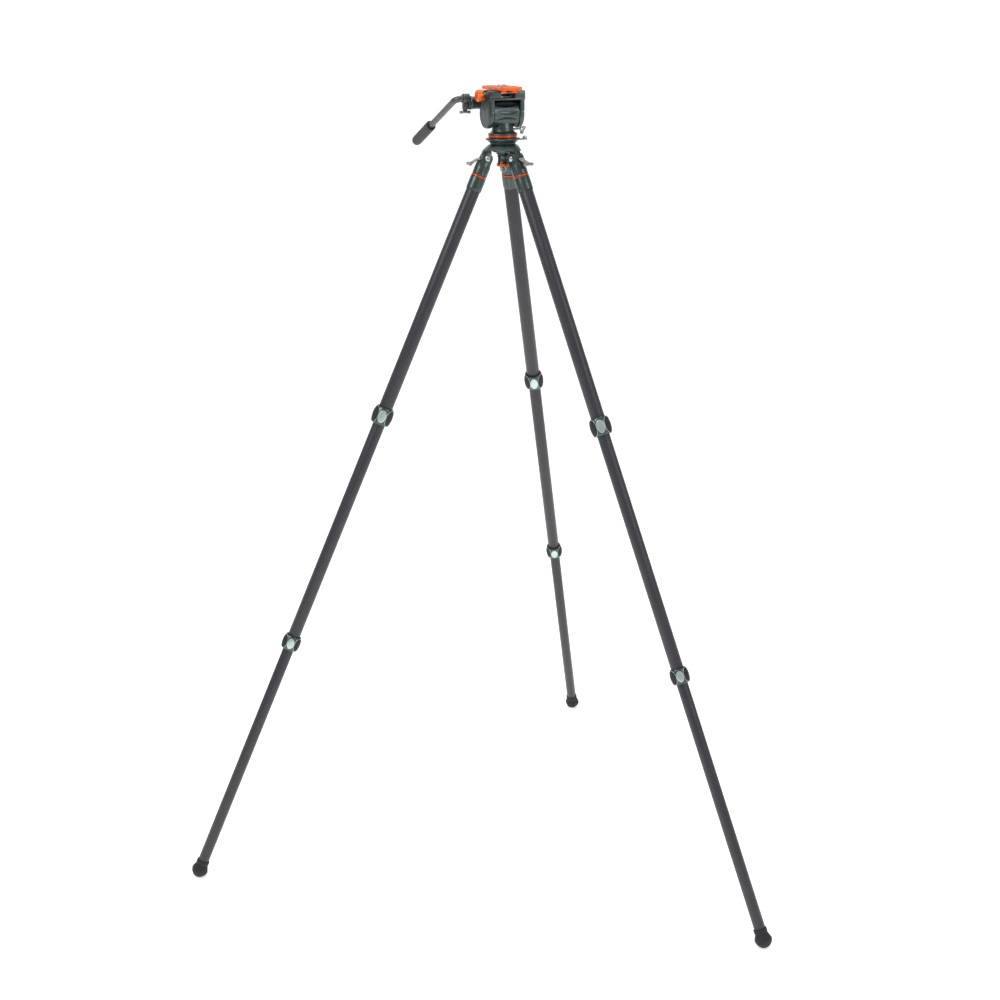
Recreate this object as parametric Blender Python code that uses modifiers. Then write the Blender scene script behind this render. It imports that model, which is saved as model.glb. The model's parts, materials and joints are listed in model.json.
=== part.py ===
"""Carbon tripod with a levelling base and a fluid head, modelled piece by piece.

Units are metres and +Z is up. The origin is on the pan axis, on the top face of the quick-release
plate. -Y is the camera's viewing direction, +Y the operator's side and X the tilt axis.
"""

import math

import bmesh
import bpy
from mathutils import Euler, Matrix, Vector

GAP = 0.0003  # clearance between pieces that touch

# ---- legs; distances down a leg are counted from its hinge ----
LEG_AZIMUTHS = {"left": 174.5, "rear": 54.5, "right": 294.5}
LEG_SPREAD = math.radians(24.0)
HIP_RADIUS = 0.0355
HIP_Z = -0.141
FLOOR_Z = -1.662

UPPER_TUBE_R = 0.0145
MIDDLE_TUBE_R = 0.0130
LOWER_TUBE_R = 0.0117
TUBE_WALL = 0.0012
LEG_TUBE_TOP = 0.0433
UPPER_LOCK_TOP = 0.5490
LOWER_LOCK_TOP = 1.0770
UPPER_LOCK_LENGTH = 0.0365
LOWER_LOCK_LENGTH = 0.0310
LOCK_FLAT_CUT = 0.0032
LOCK_FLAT_TURN = 74.5          # degrees from the leg's outward side to the first flat
MIDDLE_TUBE_TOP = 0.470
LOWER_TUBE_TOP = 1.000
FOOT_TOP = 1.623
FOOT_BORE = 0.020

# ---- leg top casting ----
CASTING_R = 0.0155
FERRULE_R = 0.0160
RING_TOP = 0.037
RING_HEIGHT = 0.004
FERRULE_END = 0.069
EAR_R = 0.011
EAR_Y = 0.0135
SLOT_HALF = 0.0073
SLOT_DEPTH = 0.0115
BOLT_R = 0.003
BOLT_HEAD_R = 0.0055
LATCH_ROOT = Vector((0.0145, 0.0, -0.007))
LATCH_HEAD = Vector((0.0285, 0.0, -0.0235))
LATCH_HALF = 0.0125

# ---- spider and levelling base; the ball's centre is the tilt centre ----
BALL_Z = -0.104
BALL_R = 0.0272
LINER_R = 0.0284
SEAT_R = 0.0287
SPIDER_TOP = -0.1148
SPIDER_BOTTOM = -0.126
ARM_REACH = 0.0425
ARM_HALF = 0.0130
SHOULDER = (0.029, 0.0185)
TONGUE_HALF = 0.007
TONGUE_R = 0.010
BOSS_R = 0.0135
BOSS_SPHERE_R = 0.0326
DISH_SPHERE_R = 0.0330
STUD_R = 0.004
STUD_END = -0.147
FLANGE_R = 0.035
FLANGE_TOP = -0.1015
HANDLE_R = 0.0112
HANDLE_RING_TOP = -0.1515
HOOK_Z = -0.1600
EAR_AZIMUTH = math.radians(-21.0)
BUBBLE_REACH = 0.0445

# ---- fluid head ----
TILT_Z = -0.0535
BASE_R = 0.030
BASE_RING_R = 0.0293
PAN_BASE_Z = -0.095
DRUM_R = 0.027
DRUM_HALF = 0.0272
ARM_IN = 0.0276
ARM_OUT = 0.0365
YOKE_R = 0.029
YOKE_FRONT = -0.034
YOKE_REAR = 0.050
YOKE_Y = 0.030
DECK_TOP = -0.0225
DECK_BOTTOM = -0.0262
JAW_TOP = -0.0079
CAP_R = 0.0285
SHAFT_R = 0.006
LOCK_HUB_R = 0.010

# ---- quick-release clamp and plate ----
PLATE_HALF = 0.023
PLATE_Y = (-0.053, 0.058)
PLATE_SLAB = 0.0075
NECK_HALF = 0.0150
TAIL_HALF = 0.0180
RAIL_NECK_LOW = -0.0087
TAIL_BOTTOM = -0.0125
CHANNEL_HALF = 0.0145
CLAMP_JAW_REAR = 0.0225
SCREW_Y = -0.010
KNOB_Z = -0.0175
KNOB_R = 0.012
CLAMP_SCREW_R = 0.0025
SCREW_TIP = 0.0280

# ---- pan handle ----
ROSETTE = Vector((0.0, 0.037, -0.033))
ROSETTE_R = 0.0135
LUG_X = (-0.057, -0.0368)
SOCKET_X = (-0.0720, -0.0573)
SCREW_X = -0.0668
BAR_R = 0.0064
BAR_Z = -0.0245
ELBOW_X = -0.086
ELBOW_R = 0.0142
BAR_LENGTH = 0.235
BAR_DIRECTION = Vector((-0.067, 0.915, -0.413)).normalized()
GRIP_LENGTH = 0.097
GRIP_R = 0.0108

PARTS = "tripod_with_fluid_head"


# ---------------------------------------------------------------- modelling helpers


def clear_scene():
    for obj in list(bpy.data.objects):
        bpy.data.objects.remove(obj, do_unlink=True)


def make_collection(name):
    collection = bpy.data.collections.new(name)
    bpy.context.scene.collection.children.link(collection)
    return collection


def link(name, data):
    obj = bpy.data.objects.new(name, data)
    bpy.context.scene.collection.objects.link(obj)
    return obj


def bake(obj):
    """Turn an object and its modifiers into a plain mesh object of the same name."""
    depsgraph = bpy.context.evaluated_depsgraph_get()
    mesh = bpy.data.meshes.new_from_object(obj.evaluated_get(depsgraph))
    mesh.transform(obj.matrix_world)
    bm = bmesh.new()
    bm.from_mesh(mesh)
    bmesh.ops.remove_doubles(bm, verts=bm.verts, dist=1e-6)
    bm.to_mesh(mesh)
    bm.free()
    name = obj.name
    bpy.data.objects.remove(obj, do_unlink=True)
    return link(name, mesh)


def turned(name, profile, steps=16, closed=False, axis="Z"):
    """Turn a profile of (radius, height) points about Z, then lay the axis along X or Y."""
    bm = bmesh.new()
    verts = [bm.verts.new((radius, 0.0, height)) for radius, height in profile]
    pairs = list(zip(verts, verts[1:]))
    if closed:
        pairs.append((verts[-1], verts[0]))
    for pair in pairs:
        bm.edges.new(pair)
    mesh = bpy.data.meshes.new(name)
    bm.to_mesh(mesh)
    bm.free()
    obj = link(name, mesh)
    screw = obj.modifiers.new("turn", "SCREW")
    screw.axis = "Z"
    screw.steps = steps
    screw.render_steps = steps
    screw.use_merge_vertices = True
    screw.merge_threshold = 1e-5
    obj.rotation_euler = {"Z": (0, 0, 0), "X": (0, math.pi / 2, 0), "Y": (-math.pi / 2, 0, 0)}[axis]
    bpy.context.view_layer.update()
    return bake(obj)


def tube_profile(outer, inner, top, bottom):
    return [(outer, top), (outer, bottom), (inner, bottom), (inner, top)]


def rod(name, radius, start, end, segments=16):
    """A cylinder from one point to another."""
    start = Vector(start)
    end = Vector(end)
    bm = bmesh.new()
    bmesh.ops.create_cone(
        bm,
        cap_ends=True,
        segments=segments,
        radius1=radius,
        radius2=radius,
        depth=(end - start).length,
    )
    turn = (end - start).to_track_quat("Z", "Y").to_matrix().to_4x4()
    bm.transform(Matrix.Translation((start + end) / 2) @ turn)
    mesh = bpy.data.meshes.new(name)
    bm.to_mesh(mesh)
    bm.free()
    return link(name, mesh)


def block(name, low, high, bevel=0.0):
    """A box between two corners, with its edges bevelled."""
    low = Vector(low)
    high = Vector(high)
    bm = bmesh.new()
    bmesh.ops.create_cube(bm, size=1.0)
    bmesh.ops.scale(bm, vec=high - low, verts=bm.verts)
    bmesh.ops.translate(bm, vec=(low + high) / 2, verts=bm.verts)
    mesh = bpy.data.meshes.new(name)
    bm.to_mesh(mesh)
    bm.free()
    obj = link(name, mesh)
    if bevel:
        add_bevel(obj, bevel)
        obj = bake(obj)
    return obj


def add_bevel(obj, width, segments=1):
    modifier = obj.modifiers.new("bevel", "BEVEL")
    modifier.width = width
    modifier.segments = segments
    modifier.limit_method = "ANGLE"


def flat_shape(name, outline, low, high, axis="Z", bevel=0.0):
    """Extrude an outline from low to high along an axis.

    The outline's pairs are (x, y) for Z, (y, z) for X and (x, z) for Y.
    """
    curve = bpy.data.curves.new(name, "CURVE")
    curve.dimensions = "2D"
    curve.fill_mode = "BOTH"
    curve.extrude = (high - low) / 2
    spline = curve.splines.new("POLY")
    spline.points.add(len(outline) - 1)
    for point, (u, v) in zip(spline.points, outline):
        point.co = (u, v, 0.0, 1.0)
    spline.use_cyclic_u = True
    obj = link(name, curve)
    middle = (low + high) / 2
    stand = {
        "Z": Matrix.Translation((0, 0, middle)),
        "X": Matrix.Translation((middle, 0, 0)) @ Matrix(((0, 0, 1, 0), (1, 0, 0, 0), (0, 1, 0, 0), (0, 0, 0, 1))),
        "Y": Matrix.Translation((0, middle, 0)) @ Matrix(((1, 0, 0, 0), (0, 0, -1, 0), (0, 1, 0, 0), (0, 0, 0, 1))),
    }[axis]
    obj.matrix_world = stand
    bpy.context.view_layer.update()
    obj = bake(obj)
    if bevel:
        add_bevel(obj, bevel)
        obj = bake(obj)
    return obj


def wire(name, points, radius, closed=False, resolution=2):
    """A round wire or bar along a line of points."""
    curve = bpy.data.curves.new(name, "CURVE")
    curve.dimensions = "3D"
    curve.bevel_depth = radius
    curve.bevel_resolution = resolution
    curve.use_fill_caps = not closed
    spline = curve.splines.new("POLY")
    spline.points.add(len(points) - 1)
    for point, place in zip(spline.points, points):
        point.co = (*place, 1.0)
    spline.use_cyclic_u = closed
    return bake(link(name, curve))


def combine(target, tool, operation):
    """Boolean two solids; the tool is used up."""
    modifier = target.modifiers.new("boolean", "BOOLEAN")
    modifier.object = tool
    modifier.operation = operation
    modifier.solver = "EXACT"
    bpy.context.view_layer.update()
    result = bake(target)
    bpy.data.objects.remove(tool, do_unlink=True)
    return result


def join(target, *tools):
    for tool in tools:
        target = combine(target, tool, "UNION")
    return target


def cut(target, *tools):
    for tool in tools:
        target = combine(target, tool, "DIFFERENCE")
    return target


def arc(centre, radius, first, last, count):
    """Points on a circle in a plane, from one angle to another in degrees."""
    points = []
    for step in range(count + 1):
        angle = math.radians(first + (last - first) * step / count)
        points.append((centre[0] + radius * math.cos(angle), centre[1] + radius * math.sin(angle)))
    return points


def sphere_profile(radius, high, low, count):
    """Points down a sphere about the ball's centre, between two heights."""
    first = math.asin((high - BALL_Z) / radius)
    last = math.asin((low - BALL_Z) / radius)
    points = []
    for step in range(count + 1):
        angle = first + (last - first) * step / count
        points.append((radius * math.cos(angle), BALL_Z + radius * math.sin(angle)))
    return points


def turn_about_z(obj, degrees):
    obj.data.transform(Matrix.Rotation(math.radians(degrees), 4, "Z"))
    return obj


# ---------------------------------------------------------------- materials


def material(name, colour, roughness, metallic):
    made = bpy.data.materials.new(name)
    made.use_nodes = True
    shader = made.node_tree.nodes["Principled BSDF"]
    shader.inputs["Base Color"].default_value = (*colour, 1.0)
    shader.inputs["Roughness"].default_value = roughness
    shader.inputs["Metallic"].default_value = metallic
    return made


FINISHES = {
    "green_grey_metal": ((0.075, 0.095, 0.088), 0.42, 0.9),
    "dark_metal": ((0.035, 0.040, 0.040), 0.45, 0.8),
    "orange_metal": ((0.83, 0.16, 0.025), 0.35, 0.8),
    "carbon": ((0.040, 0.040, 0.048), 0.38, 0.0),
    "rubber": ((0.012, 0.013, 0.014), 0.75, 0.0),
    "steel": ((0.62, 0.63, 0.64), 0.28, 1.0),
    "liner": ((0.10, 0.10, 0.11), 0.60, 0.0),
    "glass": ((0.55, 0.80, 0.35), 0.10, 0.0),
}


# ---------------------------------------------------------------- leg pieces, in a leg's own frame
# The hinge is at the origin, -Z runs down the leg, +X is outwards and Y is the hinge axis.


def leg_top():
    bore_floor = -(RING_TOP + RING_HEIGHT + 0.002)
    neck_r = UPPER_TUBE_R - 0.0015
    body = turned(
        "leg_top",
        [
            (0.0, -0.004),
            (0.0115, -0.004),
            (CASTING_R, -0.015),
            (CASTING_R, -RING_TOP),
            (neck_r, -RING_TOP),
            (neck_r, -RING_TOP - RING_HEIGHT),
            (FERRULE_R, -RING_TOP - RING_HEIGHT),
            (FERRULE_R, -FERRULE_END),
            (UPPER_TUBE_R + GAP, -FERRULE_END),
            (UPPER_TUBE_R + GAP, bore_floor),
            (0.0, bore_floor),
        ],
    )
    outline = [(-EAR_R, -0.018)] + arc((0.0, 0.0), EAR_R, 180, 0, 10) + [(EAR_R, -0.018)]
    ears = flat_shape("ears", outline, -EAR_Y, EAR_Y, "Y")
    slot = block("slot", (-0.03, -SLOT_HALF, -SLOT_DEPTH), (0.03, SLOT_HALF, 0.03))
    hole = rod("hole", BOLT_R + GAP, (0, -0.03, 0), (0, 0.03, 0), 12)
    return cut(join(body, ears), slot, hole)


def accent_ring():
    top = -RING_TOP - GAP
    bottom = -RING_TOP - RING_HEIGHT + GAP
    return turned("accent_ring", tube_profile(0.0159, UPPER_TUBE_R - 0.0012, top, bottom), closed=True)


def leg_tube(name, radius, top, bottom):
    return turned(name, tube_profile(radius, radius - TUBE_WALL, -top, -bottom), closed=True)


def collet(name, tube_radius, top, bottom):
    """Expanding sleeve in a twist lock, round the thinner tube and below the thicker tube's end."""
    outer = tube_radius
    return turned(name, tube_profile(outer, outer - TUBE_WALL, -top, -bottom), closed=True)


def twist_lock(name, outer_tube_r, inner_tube_r, top, length, swell):
    """Barrel-shaped collar with three flats, which leave oval facets."""
    bottom = top + length
    end_r = outer_tube_r + 0.003
    full_r = outer_tube_r + swell
    bore = outer_tube_r + GAP
    lip = inner_tube_r + 0.0004
    lip_top = bottom - 0.0024
    shape = [(end_r, -top)]
    for share, bulge in ((0.10, 0.55), (0.28, 1.0), (0.72, 1.0), (0.90, 0.55)):
        shape.append((end_r + (full_r - end_r) * bulge, -top - share * length))
    shape += [(end_r, -bottom), (lip, -bottom), (lip, -lip_top), (bore, -lip_top), (bore, -top)]
    body = turned(name, shape, closed=True)
    flat_r = full_r - LOCK_FLAT_CUT
    for side in range(3):
        flat = block("flat", (flat_r, -0.03, -bottom - 0.01), (flat_r + 0.03, 0.03, -top + 0.01))
        body = cut(body, turn_about_z(flat, 120 * side + LOCK_FLAT_TURN))
    return body


def foot():
    """Rubber foot; the floor flattens a patch of its underside."""
    bore_r = LOWER_TUBE_R + GAP
    floor = -FOOT_TOP - FOOT_BORE
    rim = -FOOT_TOP
    body = turned(
        "foot",
        [
            (0.0, floor),
            (bore_r, floor),
            (bore_r, rim),
            (0.0133, rim),
            (0.0138, rim - 0.003),
            (0.0138, rim - 0.009),
            (0.0129, rim - 0.010),
            (0.0129, rim - 0.012),
            (0.0145, rim - 0.0135),
            (0.0180, rim - 0.022),
            (0.0180, rim - 0.026),
            (0.0155, rim - 0.032),
            (0.0100, rim - 0.038),
            (0.0060, rim - 0.040),
            (0.0, rim - 0.040),
        ],
    )
    ground = block("ground", (-1, -1, -0.1), (1, 1, 0.0))
    stand = hip_matrix(0.0).inverted() @ Matrix.Translation((0, 0, FLOOR_Z))
    ground.data.transform(stand)
    return cut(body, ground)


def stop_latch():
    """Sprung tab that sets the leg's spread: a flat lever with a cross head."""
    along = (LATCH_HEAD - LATCH_ROOT).normalized()
    across = Vector((along.z, 0.0, -along.x))
    half = 0.0022
    corners = []
    for place, side in ((LATCH_ROOT, 1), (LATCH_ROOT, -1), (LATCH_HEAD, -1), (LATCH_HEAD, 1)):
        corner = place + across * half * side
        corners.append((corner.x, corner.z))
    lever = flat_shape("stop_latch", corners, -0.0065, 0.0065, "Y")
    root = rod("root", 0.0026, LATCH_ROOT + Vector((0, -0.0075, 0)), LATCH_ROOT + Vector((0, 0.0075, 0)), 12)
    head = rod("head", 0.0036, LATCH_HEAD + Vector((0, -LATCH_HALF, 0)), LATCH_HEAD + Vector((0, LATCH_HALF, 0)), 12)
    return join(lever, root, head)


def pivot_bolt():
    end = EAR_Y + GAP
    tip = end + 0.0030
    return turned(
        "pivot_bolt",
        [
            (0.0, tip),
            (BOLT_HEAD_R - 0.001, tip),
            (BOLT_HEAD_R, tip - 0.001),
            (BOLT_HEAD_R, end),
            (BOLT_R, end),
            (BOLT_R, -end),
            (BOLT_HEAD_R, -end),
            (BOLT_HEAD_R, -tip + 0.001),
            (BOLT_HEAD_R - 0.001, -tip),
            (0.0, -tip),
        ],
        steps=12,
        axis="Y",
    )


def hip_matrix(azimuth):
    """Where a leg's frame stands, for the compass direction of its foot in degrees."""
    turn = math.radians(azimuth)
    place = (HIP_RADIUS * math.cos(turn), HIP_RADIUS * math.sin(turn), HIP_Z)
    return Matrix.Translation(place) @ Euler((0.0, -LEG_SPREAD, turn)).to_matrix().to_4x4()


def leg_pieces():
    """Each leg piece with its finish and the point in the leg's frame that it turns or slides about."""
    upper_end = UPPER_LOCK_TOP + 0.0195
    lower_end = LOWER_LOCK_TOP + 0.0170
    upper_lip = UPPER_LOCK_TOP + UPPER_LOCK_LENGTH - 0.0028
    lower_lip = LOWER_LOCK_TOP + LOWER_LOCK_LENGTH - 0.0028
    return [
        ("leg_top", "green_grey_metal", leg_top()),
        ("accent_ring", "orange_metal", accent_ring()),
        ("pivot_bolt", "steel", pivot_bolt()),
        ("stop_latch", "steel", stop_latch()),
        ("upper_tube", "carbon", leg_tube("upper_tube", UPPER_TUBE_R, LEG_TUBE_TOP, upper_end)),
        ("upper_collet", "liner", collet("upper_collet", UPPER_TUBE_R, upper_end + GAP, upper_lip)),
        (
            "upper_lock",
            "green_grey_metal",
            twist_lock("upper_lock", UPPER_TUBE_R, MIDDLE_TUBE_R, UPPER_LOCK_TOP, UPPER_LOCK_LENGTH, 0.0075),
        ),
        ("middle_tube", "carbon", leg_tube("middle_tube", MIDDLE_TUBE_R, MIDDLE_TUBE_TOP, lower_end)),
        ("lower_collet", "liner", collet("lower_collet", MIDDLE_TUBE_R, lower_end + GAP, lower_lip)),
        (
            "lower_lock",
            "green_grey_metal",
            twist_lock("lower_lock", MIDDLE_TUBE_R, LOWER_TUBE_R, LOWER_LOCK_TOP, LOWER_LOCK_LENGTH, 0.0068),
        ),
        (
            "lower_tube",
            "carbon",
            leg_tube("lower_tube", LOWER_TUBE_R, LOWER_TUBE_TOP, FOOT_TOP + FOOT_BORE - GAP),
        ),
        ("foot", "rubber", foot()),
    ]


# ---------------------------------------------------------------- spider and levelling base


def spider_outline():
    points = []
    for azimuth in sorted(LEG_AZIMUTHS.values()):
        turn = Matrix.Rotation(math.radians(azimuth), 2)
        reach, half = SHOULDER
        for corner in ((reach, -half), (ARM_REACH, -ARM_HALF), (ARM_REACH, ARM_HALF), (reach, half)):
            points.append(tuple(turn @ Vector(corner)))
    return points


def spider():
    """Star casting: a bowl for the ball, three sloping arms and a hinge tongue under each."""
    body = flat_shape("spider", spider_outline(), SPIDER_BOTTOM, SPIDER_TOP, "Z")
    slope_top = 0.0288
    slope_bottom = slope_top + (SPIDER_TOP - SPIDER_BOTTOM) * 1.22
    cone = turned(
        "cone",
        [(0.0, SPIDER_TOP), (slope_top, SPIDER_TOP), (slope_bottom, SPIDER_BOTTOM), (0.0, SPIDER_BOTTOM)],
        steps=24,
    )
    body = combine(body, cone, "INTERSECT")
    boss_low = BALL_Z - math.sqrt(BOSS_SPHERE_R**2 - BOSS_R**2)
    hole_r = STUD_R + 0.0046
    boss_mid = BALL_Z - math.sqrt(BOSS_SPHERE_R**2 - hole_r**2)
    cup_r = 0.0215
    cup_low = -0.1295
    boss = turned(
        "boss",
        [
            (0.0, -0.122),
            (cup_r + 0.001, -0.122),
            (cup_r, cup_low),
            (BOSS_R, cup_low - 0.0015),
            (BOSS_R, boss_low),
            (hole_r, boss_mid),
            (0.0, boss_mid),
        ],
    )
    body = join(body, boss)
    for azimuth in LEG_AZIMUTHS.values():
        outline = [(HIP_RADIUS - 0.010, SPIDER_BOTTOM + 0.002)]
        outline += arc((HIP_RADIUS, HIP_Z), TONGUE_R, 180, 360, 10)
        outline += [(HIP_RADIUS + TONGUE_R, HIP_Z + 0.006), (ARM_REACH - 0.002, SPIDER_BOTTOM + 0.002)]
        tongue = flat_shape("tongue", outline, -TONGUE_HALF, TONGUE_HALF, "Y")
        body = join(body, turn_about_z(tongue, azimuth))
        hole = rod("hole", BOLT_R + GAP, (HIP_RADIUS, -0.02, HIP_Z), (HIP_RADIUS, 0.02, HIP_Z), 12)
        body = cut(body, turn_about_z(hole, azimuth))
    seat_profile = sphere_profile(SEAT_R, SPIDER_TOP + 0.002, -0.1273, 5)
    seat = turned("seat", [(0.0, seat_profile[0][1])] + seat_profile + [(0.0, seat_profile[-1][1])], steps=24)
    hole = rod("hole", hole_r, (0, 0, -0.16), (0, 0, -0.11), 24)
    return cut(body, seat, hole)


def ball_liner():
    outer = sphere_profile(LINER_R, -0.1165, -0.1235, 3)
    inner = sphere_profile(BALL_R + GAP, -0.1163, -0.1230, 3)
    return turned("ball_liner", outer + inner[::-1], steps=24, closed=True)


def level_flange():
    """Half ball with its stud below and the flange that the head stands on above."""
    zone = sphere_profile(BALL_R, -0.1110, -0.1240, 5)
    profile = [
        (0.0, FLANGE_TOP),
        (FLANGE_R - 0.0008, FLANGE_TOP),
        (FLANGE_R, FLANGE_TOP - 0.0008),
        (FLANGE_R, FLANGE_TOP - 0.0030),
        (0.0290, -0.1104),
    ]
    profile += zone + [(STUD_R, -0.1240), (STUD_R, STUD_END), (0.0, STUD_END)]
    body = turned("level_flange", profile, steps=24)
    ear = flat_shape(
        "ear",
        [(0.030, -0.006), (0.0480, -0.006), (0.0500, -0.004), (0.0500, 0.004), (0.0480, 0.006), (0.030, 0.006)],
        FLANGE_TOP - 0.0042,
        FLANGE_TOP - 0.0016,
        "Z",
    )
    return join(body, turn_about_z(ear, math.degrees(EAR_AZIMUTH)))


def bubble_level():
    top = FLANGE_TOP + 0.0042
    bottom = FLANGE_TOP - 0.0016 + GAP
    body = turned(
        "bubble_level",
        [(0.0, top), (0.0030, top), (0.0042, top - 0.0010), (0.0046, bottom), (0.0, bottom)],
        steps=16,
    )
    body.data.transform(Matrix.Translation((BUBBLE_REACH, 0, 0)))
    return turn_about_z(body, math.degrees(EAR_AZIMUTH))


def level_handle():
    """Grip under the spider that screws up the ball's stud; its dished top clamps the bowl."""
    bore = STUD_R + GAP
    rim = BALL_Z - math.sqrt(DISH_SPHERE_R**2 - HANDLE_R**2)
    dish = BALL_Z - math.sqrt(DISH_SPHERE_R**2 - bore**2)
    ring_bottom = HANDLE_RING_TOP - 0.0065
    body = turned(
        "level_handle",
        [
            (0.0, STUD_END - 0.0008),
            (bore, STUD_END - 0.0008),
            (bore, dish),
            (HANDLE_R, rim),
            (HANDLE_R, -0.1395),
            (0.0104, -0.1410),
            (0.0104, -0.1490),
            (HANDLE_R, HANDLE_RING_TOP),
            (0.0092, HANDLE_RING_TOP),
            (0.0092, ring_bottom - GAP),
            (0.0074, ring_bottom - 0.0015),
            (0.0, ring_bottom - 0.0015),
        ],
        steps=20,
    )
    post = block("post", (-0.0016, -0.0032, HOOK_Z - 0.0028), (0.0016, 0.0032, ring_bottom))
    hole = rod("hole", 0.0014, (-0.01, 0, HOOK_Z), (0.01, 0, HOOK_Z), 12)
    return cut(join(body, post), hole)


def handle_ring():
    top = HANDLE_RING_TOP - GAP
    bottom = HANDLE_RING_TOP - 0.0065
    inner = 0.0095
    profile = [(0.0125, top), (0.0133, top - 0.001), (0.0128, bottom + 0.001), (0.0118, bottom), (inner, bottom), (inner, top)]
    return turned("handle_ring", profile, steps=20, closed=True)


def hook_ring():
    """D-shaped wire ring that hangs from the handle's post, for a weight or a bag."""
    half = 0.0062
    corner = 0.0035
    points = [(x, 0.0, HOOK_Z) for x in (-half + corner, 0.0, half - corner)]
    points += [(half, 0.0, HOOK_Z - corner * 0.6)]
    for step in range(9):
        angle = math.radians(-20 * step)
        points.append((half * math.cos(angle), 0.0, HOOK_Z - corner + half * math.sin(angle) * 0.75))
    points += [(-half, 0.0, HOOK_Z - corner * 0.6)]
    unique = []
    for point in points:
        if not unique or (Vector(point) - Vector(unique[-1])).length > 0.0004:
            unique.append(point)
    return wire("hook_ring", unique, 0.0010, closed=True)


# ---------------------------------------------------------------- fluid head


def base_ring():
    """Orange base plate of the head, screwed to the levelling flange."""
    bottom = FLANGE_TOP + GAP
    top = PAN_BASE_Z - GAP
    profile = [
        (BASE_RING_R - 0.0006, top),
        (BASE_RING_R, top - 0.0008),
        (BASE_RING_R, bottom + 0.0012),
        (BASE_RING_R - 0.0014, bottom),
        (0.0083, bottom),
        (0.0083, top),
    ]
    return turned("base_ring", profile, steps=24, closed=True)


def drum_cutter(radius, half):
    return rod("drum_cutter", radius, (-half, 0, TILT_Z), (half, 0, TILT_Z), 32)


def pan_base():
    """Turning housing: disc, flared neck and the spigot it turns on."""
    body = turned(
        "pan_base",
        [
            (0.0, -0.070),
            (0.0195, -0.070),
            (0.0215, -0.0800),
            (0.0222, -0.0860),
            (0.0245, -0.0900),
            (BASE_R - 0.001, -0.0918),
            (BASE_R, -0.0926),
            (BASE_R, PAN_BASE_Z),
            (0.0080, PAN_BASE_Z),
            (0.0080, FLANGE_TOP + 0.0006),
            (0.0, FLANGE_TOP + 0.0006),
        ],
        steps=24,
    )
    screw_hole = rod("screw_hole", 0.0025 + GAP, (0.0140, 0, -0.0855), (0.05, 0, -0.0855), 12)
    return cut(body, drum_cutter(DRUM_R + GAP, 0.05), screw_hole)


def pan_lock():
    """Screw with a flat wing that locks the pan."""
    shaft = rod("pan_lock", 0.0025, (0.0145, 0, -0.0855), (0.0400, 0, -0.0855), 12)
    hub = rod("hub", 0.0042, (0.0374, 0, -0.0855), (0.0420, 0, -0.0855), 12)
    outline = [(0.0385, -0.0952), (0.0425, -0.0958), (0.0455, -0.0890), (0.0500, -0.0830), (0.0490, -0.0795)]
    outline += [(0.0455, -0.0790), (0.0420, -0.0815), (0.0385, -0.0800), (0.0374, -0.0832), (0.0374, -0.0895)]
    wing = flat_shape("wing", outline, -0.0032, 0.0032, "Y")
    return join(shaft, hub, wing)


def drum_body():
    """Housing of the fluid damper; it stands on the neck and the yoke's arms turn about it."""
    edge = 0.0012
    profile = [
        (0.0063, DRUM_HALF),
        (DRUM_R - edge, DRUM_HALF),
        (DRUM_R, DRUM_HALF - edge),
        (DRUM_R, -DRUM_HALF + edge),
        (DRUM_R - edge, -DRUM_HALF),
        (0.0063, -DRUM_HALF),
    ]
    body = turned("drum_body", profile, steps=32, closed=True, axis="X")
    body.data.transform(Matrix.Translation((0, 0, TILT_Z)))
    return body


def tilt_shaft():
    return rod("tilt_shaft", SHAFT_R, (-ARM_OUT + 0.0005, 0, TILT_Z), (ARM_OUT - 0.0005, 0, TILT_Z), 20)


def yoke_arm(name, low, high):
    side = math.degrees(math.asin(0.0065 / YOKE_R))
    outline = [(-YOKE_Y, DECK_BOTTOM + 0.001), (-YOKE_Y, TILT_Z + 0.0065)]
    outline += arc((0.0, TILT_Z), YOKE_R, 180 - side, 360 + side, 18)
    outline += [(YOKE_Y, TILT_Z + 0.0065), (YOKE_Y, DECK_BOTTOM + 0.001)]
    return flat_shape(name, outline, low, high, "X", 0.0010)


def dovetail_outline(grow):
    """Section of the plate's rail, and of the slot for it when it is grown."""
    top = -PLATE_SLAB + 0.001
    neck_low = RAIL_NECK_LOW
    tail_high = neck_low - (TAIL_HALF - NECK_HALF)
    low = TAIL_BOTTOM - grow
    right = [(NECK_HALF + grow, top), (NECK_HALF + grow, neck_low), (TAIL_HALF + grow, tail_high + grow * 0.4)]
    right += [(TAIL_HALF + grow, low)]
    left = [(-x, z) for x, z in reversed(right)]
    return right + left


def tilt_yoke():
    """Platform with the fixed clamp jaw on its right, and the two arms."""
    deck = block("tilt_yoke", (-ARM_OUT, YOKE_FRONT, DECK_BOTTOM), (ARM_OUT, YOKE_REAR, DECK_TOP), 0.0008)
    jaw = block("jaw", (CHANNEL_HALF, YOKE_FRONT, DECK_TOP - 0.001), (ARM_OUT, YOKE_REAR - 0.012, JAW_TOP), 0.0010)
    slot = flat_shape("slot", dovetail_outline(GAP), -0.08, 0.08, "Y")
    jaw = cut(jaw, slot)
    bracket = block("bracket", (-ARM_OUT, 0.024, -0.046), (-0.0275, YOKE_REAR, DECK_TOP - 0.001), 0.0010)
    left = yoke_arm("left", -ARM_OUT, -ARM_IN)
    right = yoke_arm("right", ARM_IN, ARM_OUT)
    body = join(deck, jaw, bracket, left, right)
    bore = rod("bore", SHAFT_R + GAP, (-0.05, 0, TILT_Z), (0.05, 0, TILT_Z), 20)
    screw_hole = rod("screw_hole", CLAMP_SCREW_R + GAP, (0.0, 0, KNOB_Z), (SCREW_TIP + 0.0006, 0, KNOB_Z), 12)
    return cut(body, bore, screw_hole)


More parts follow.
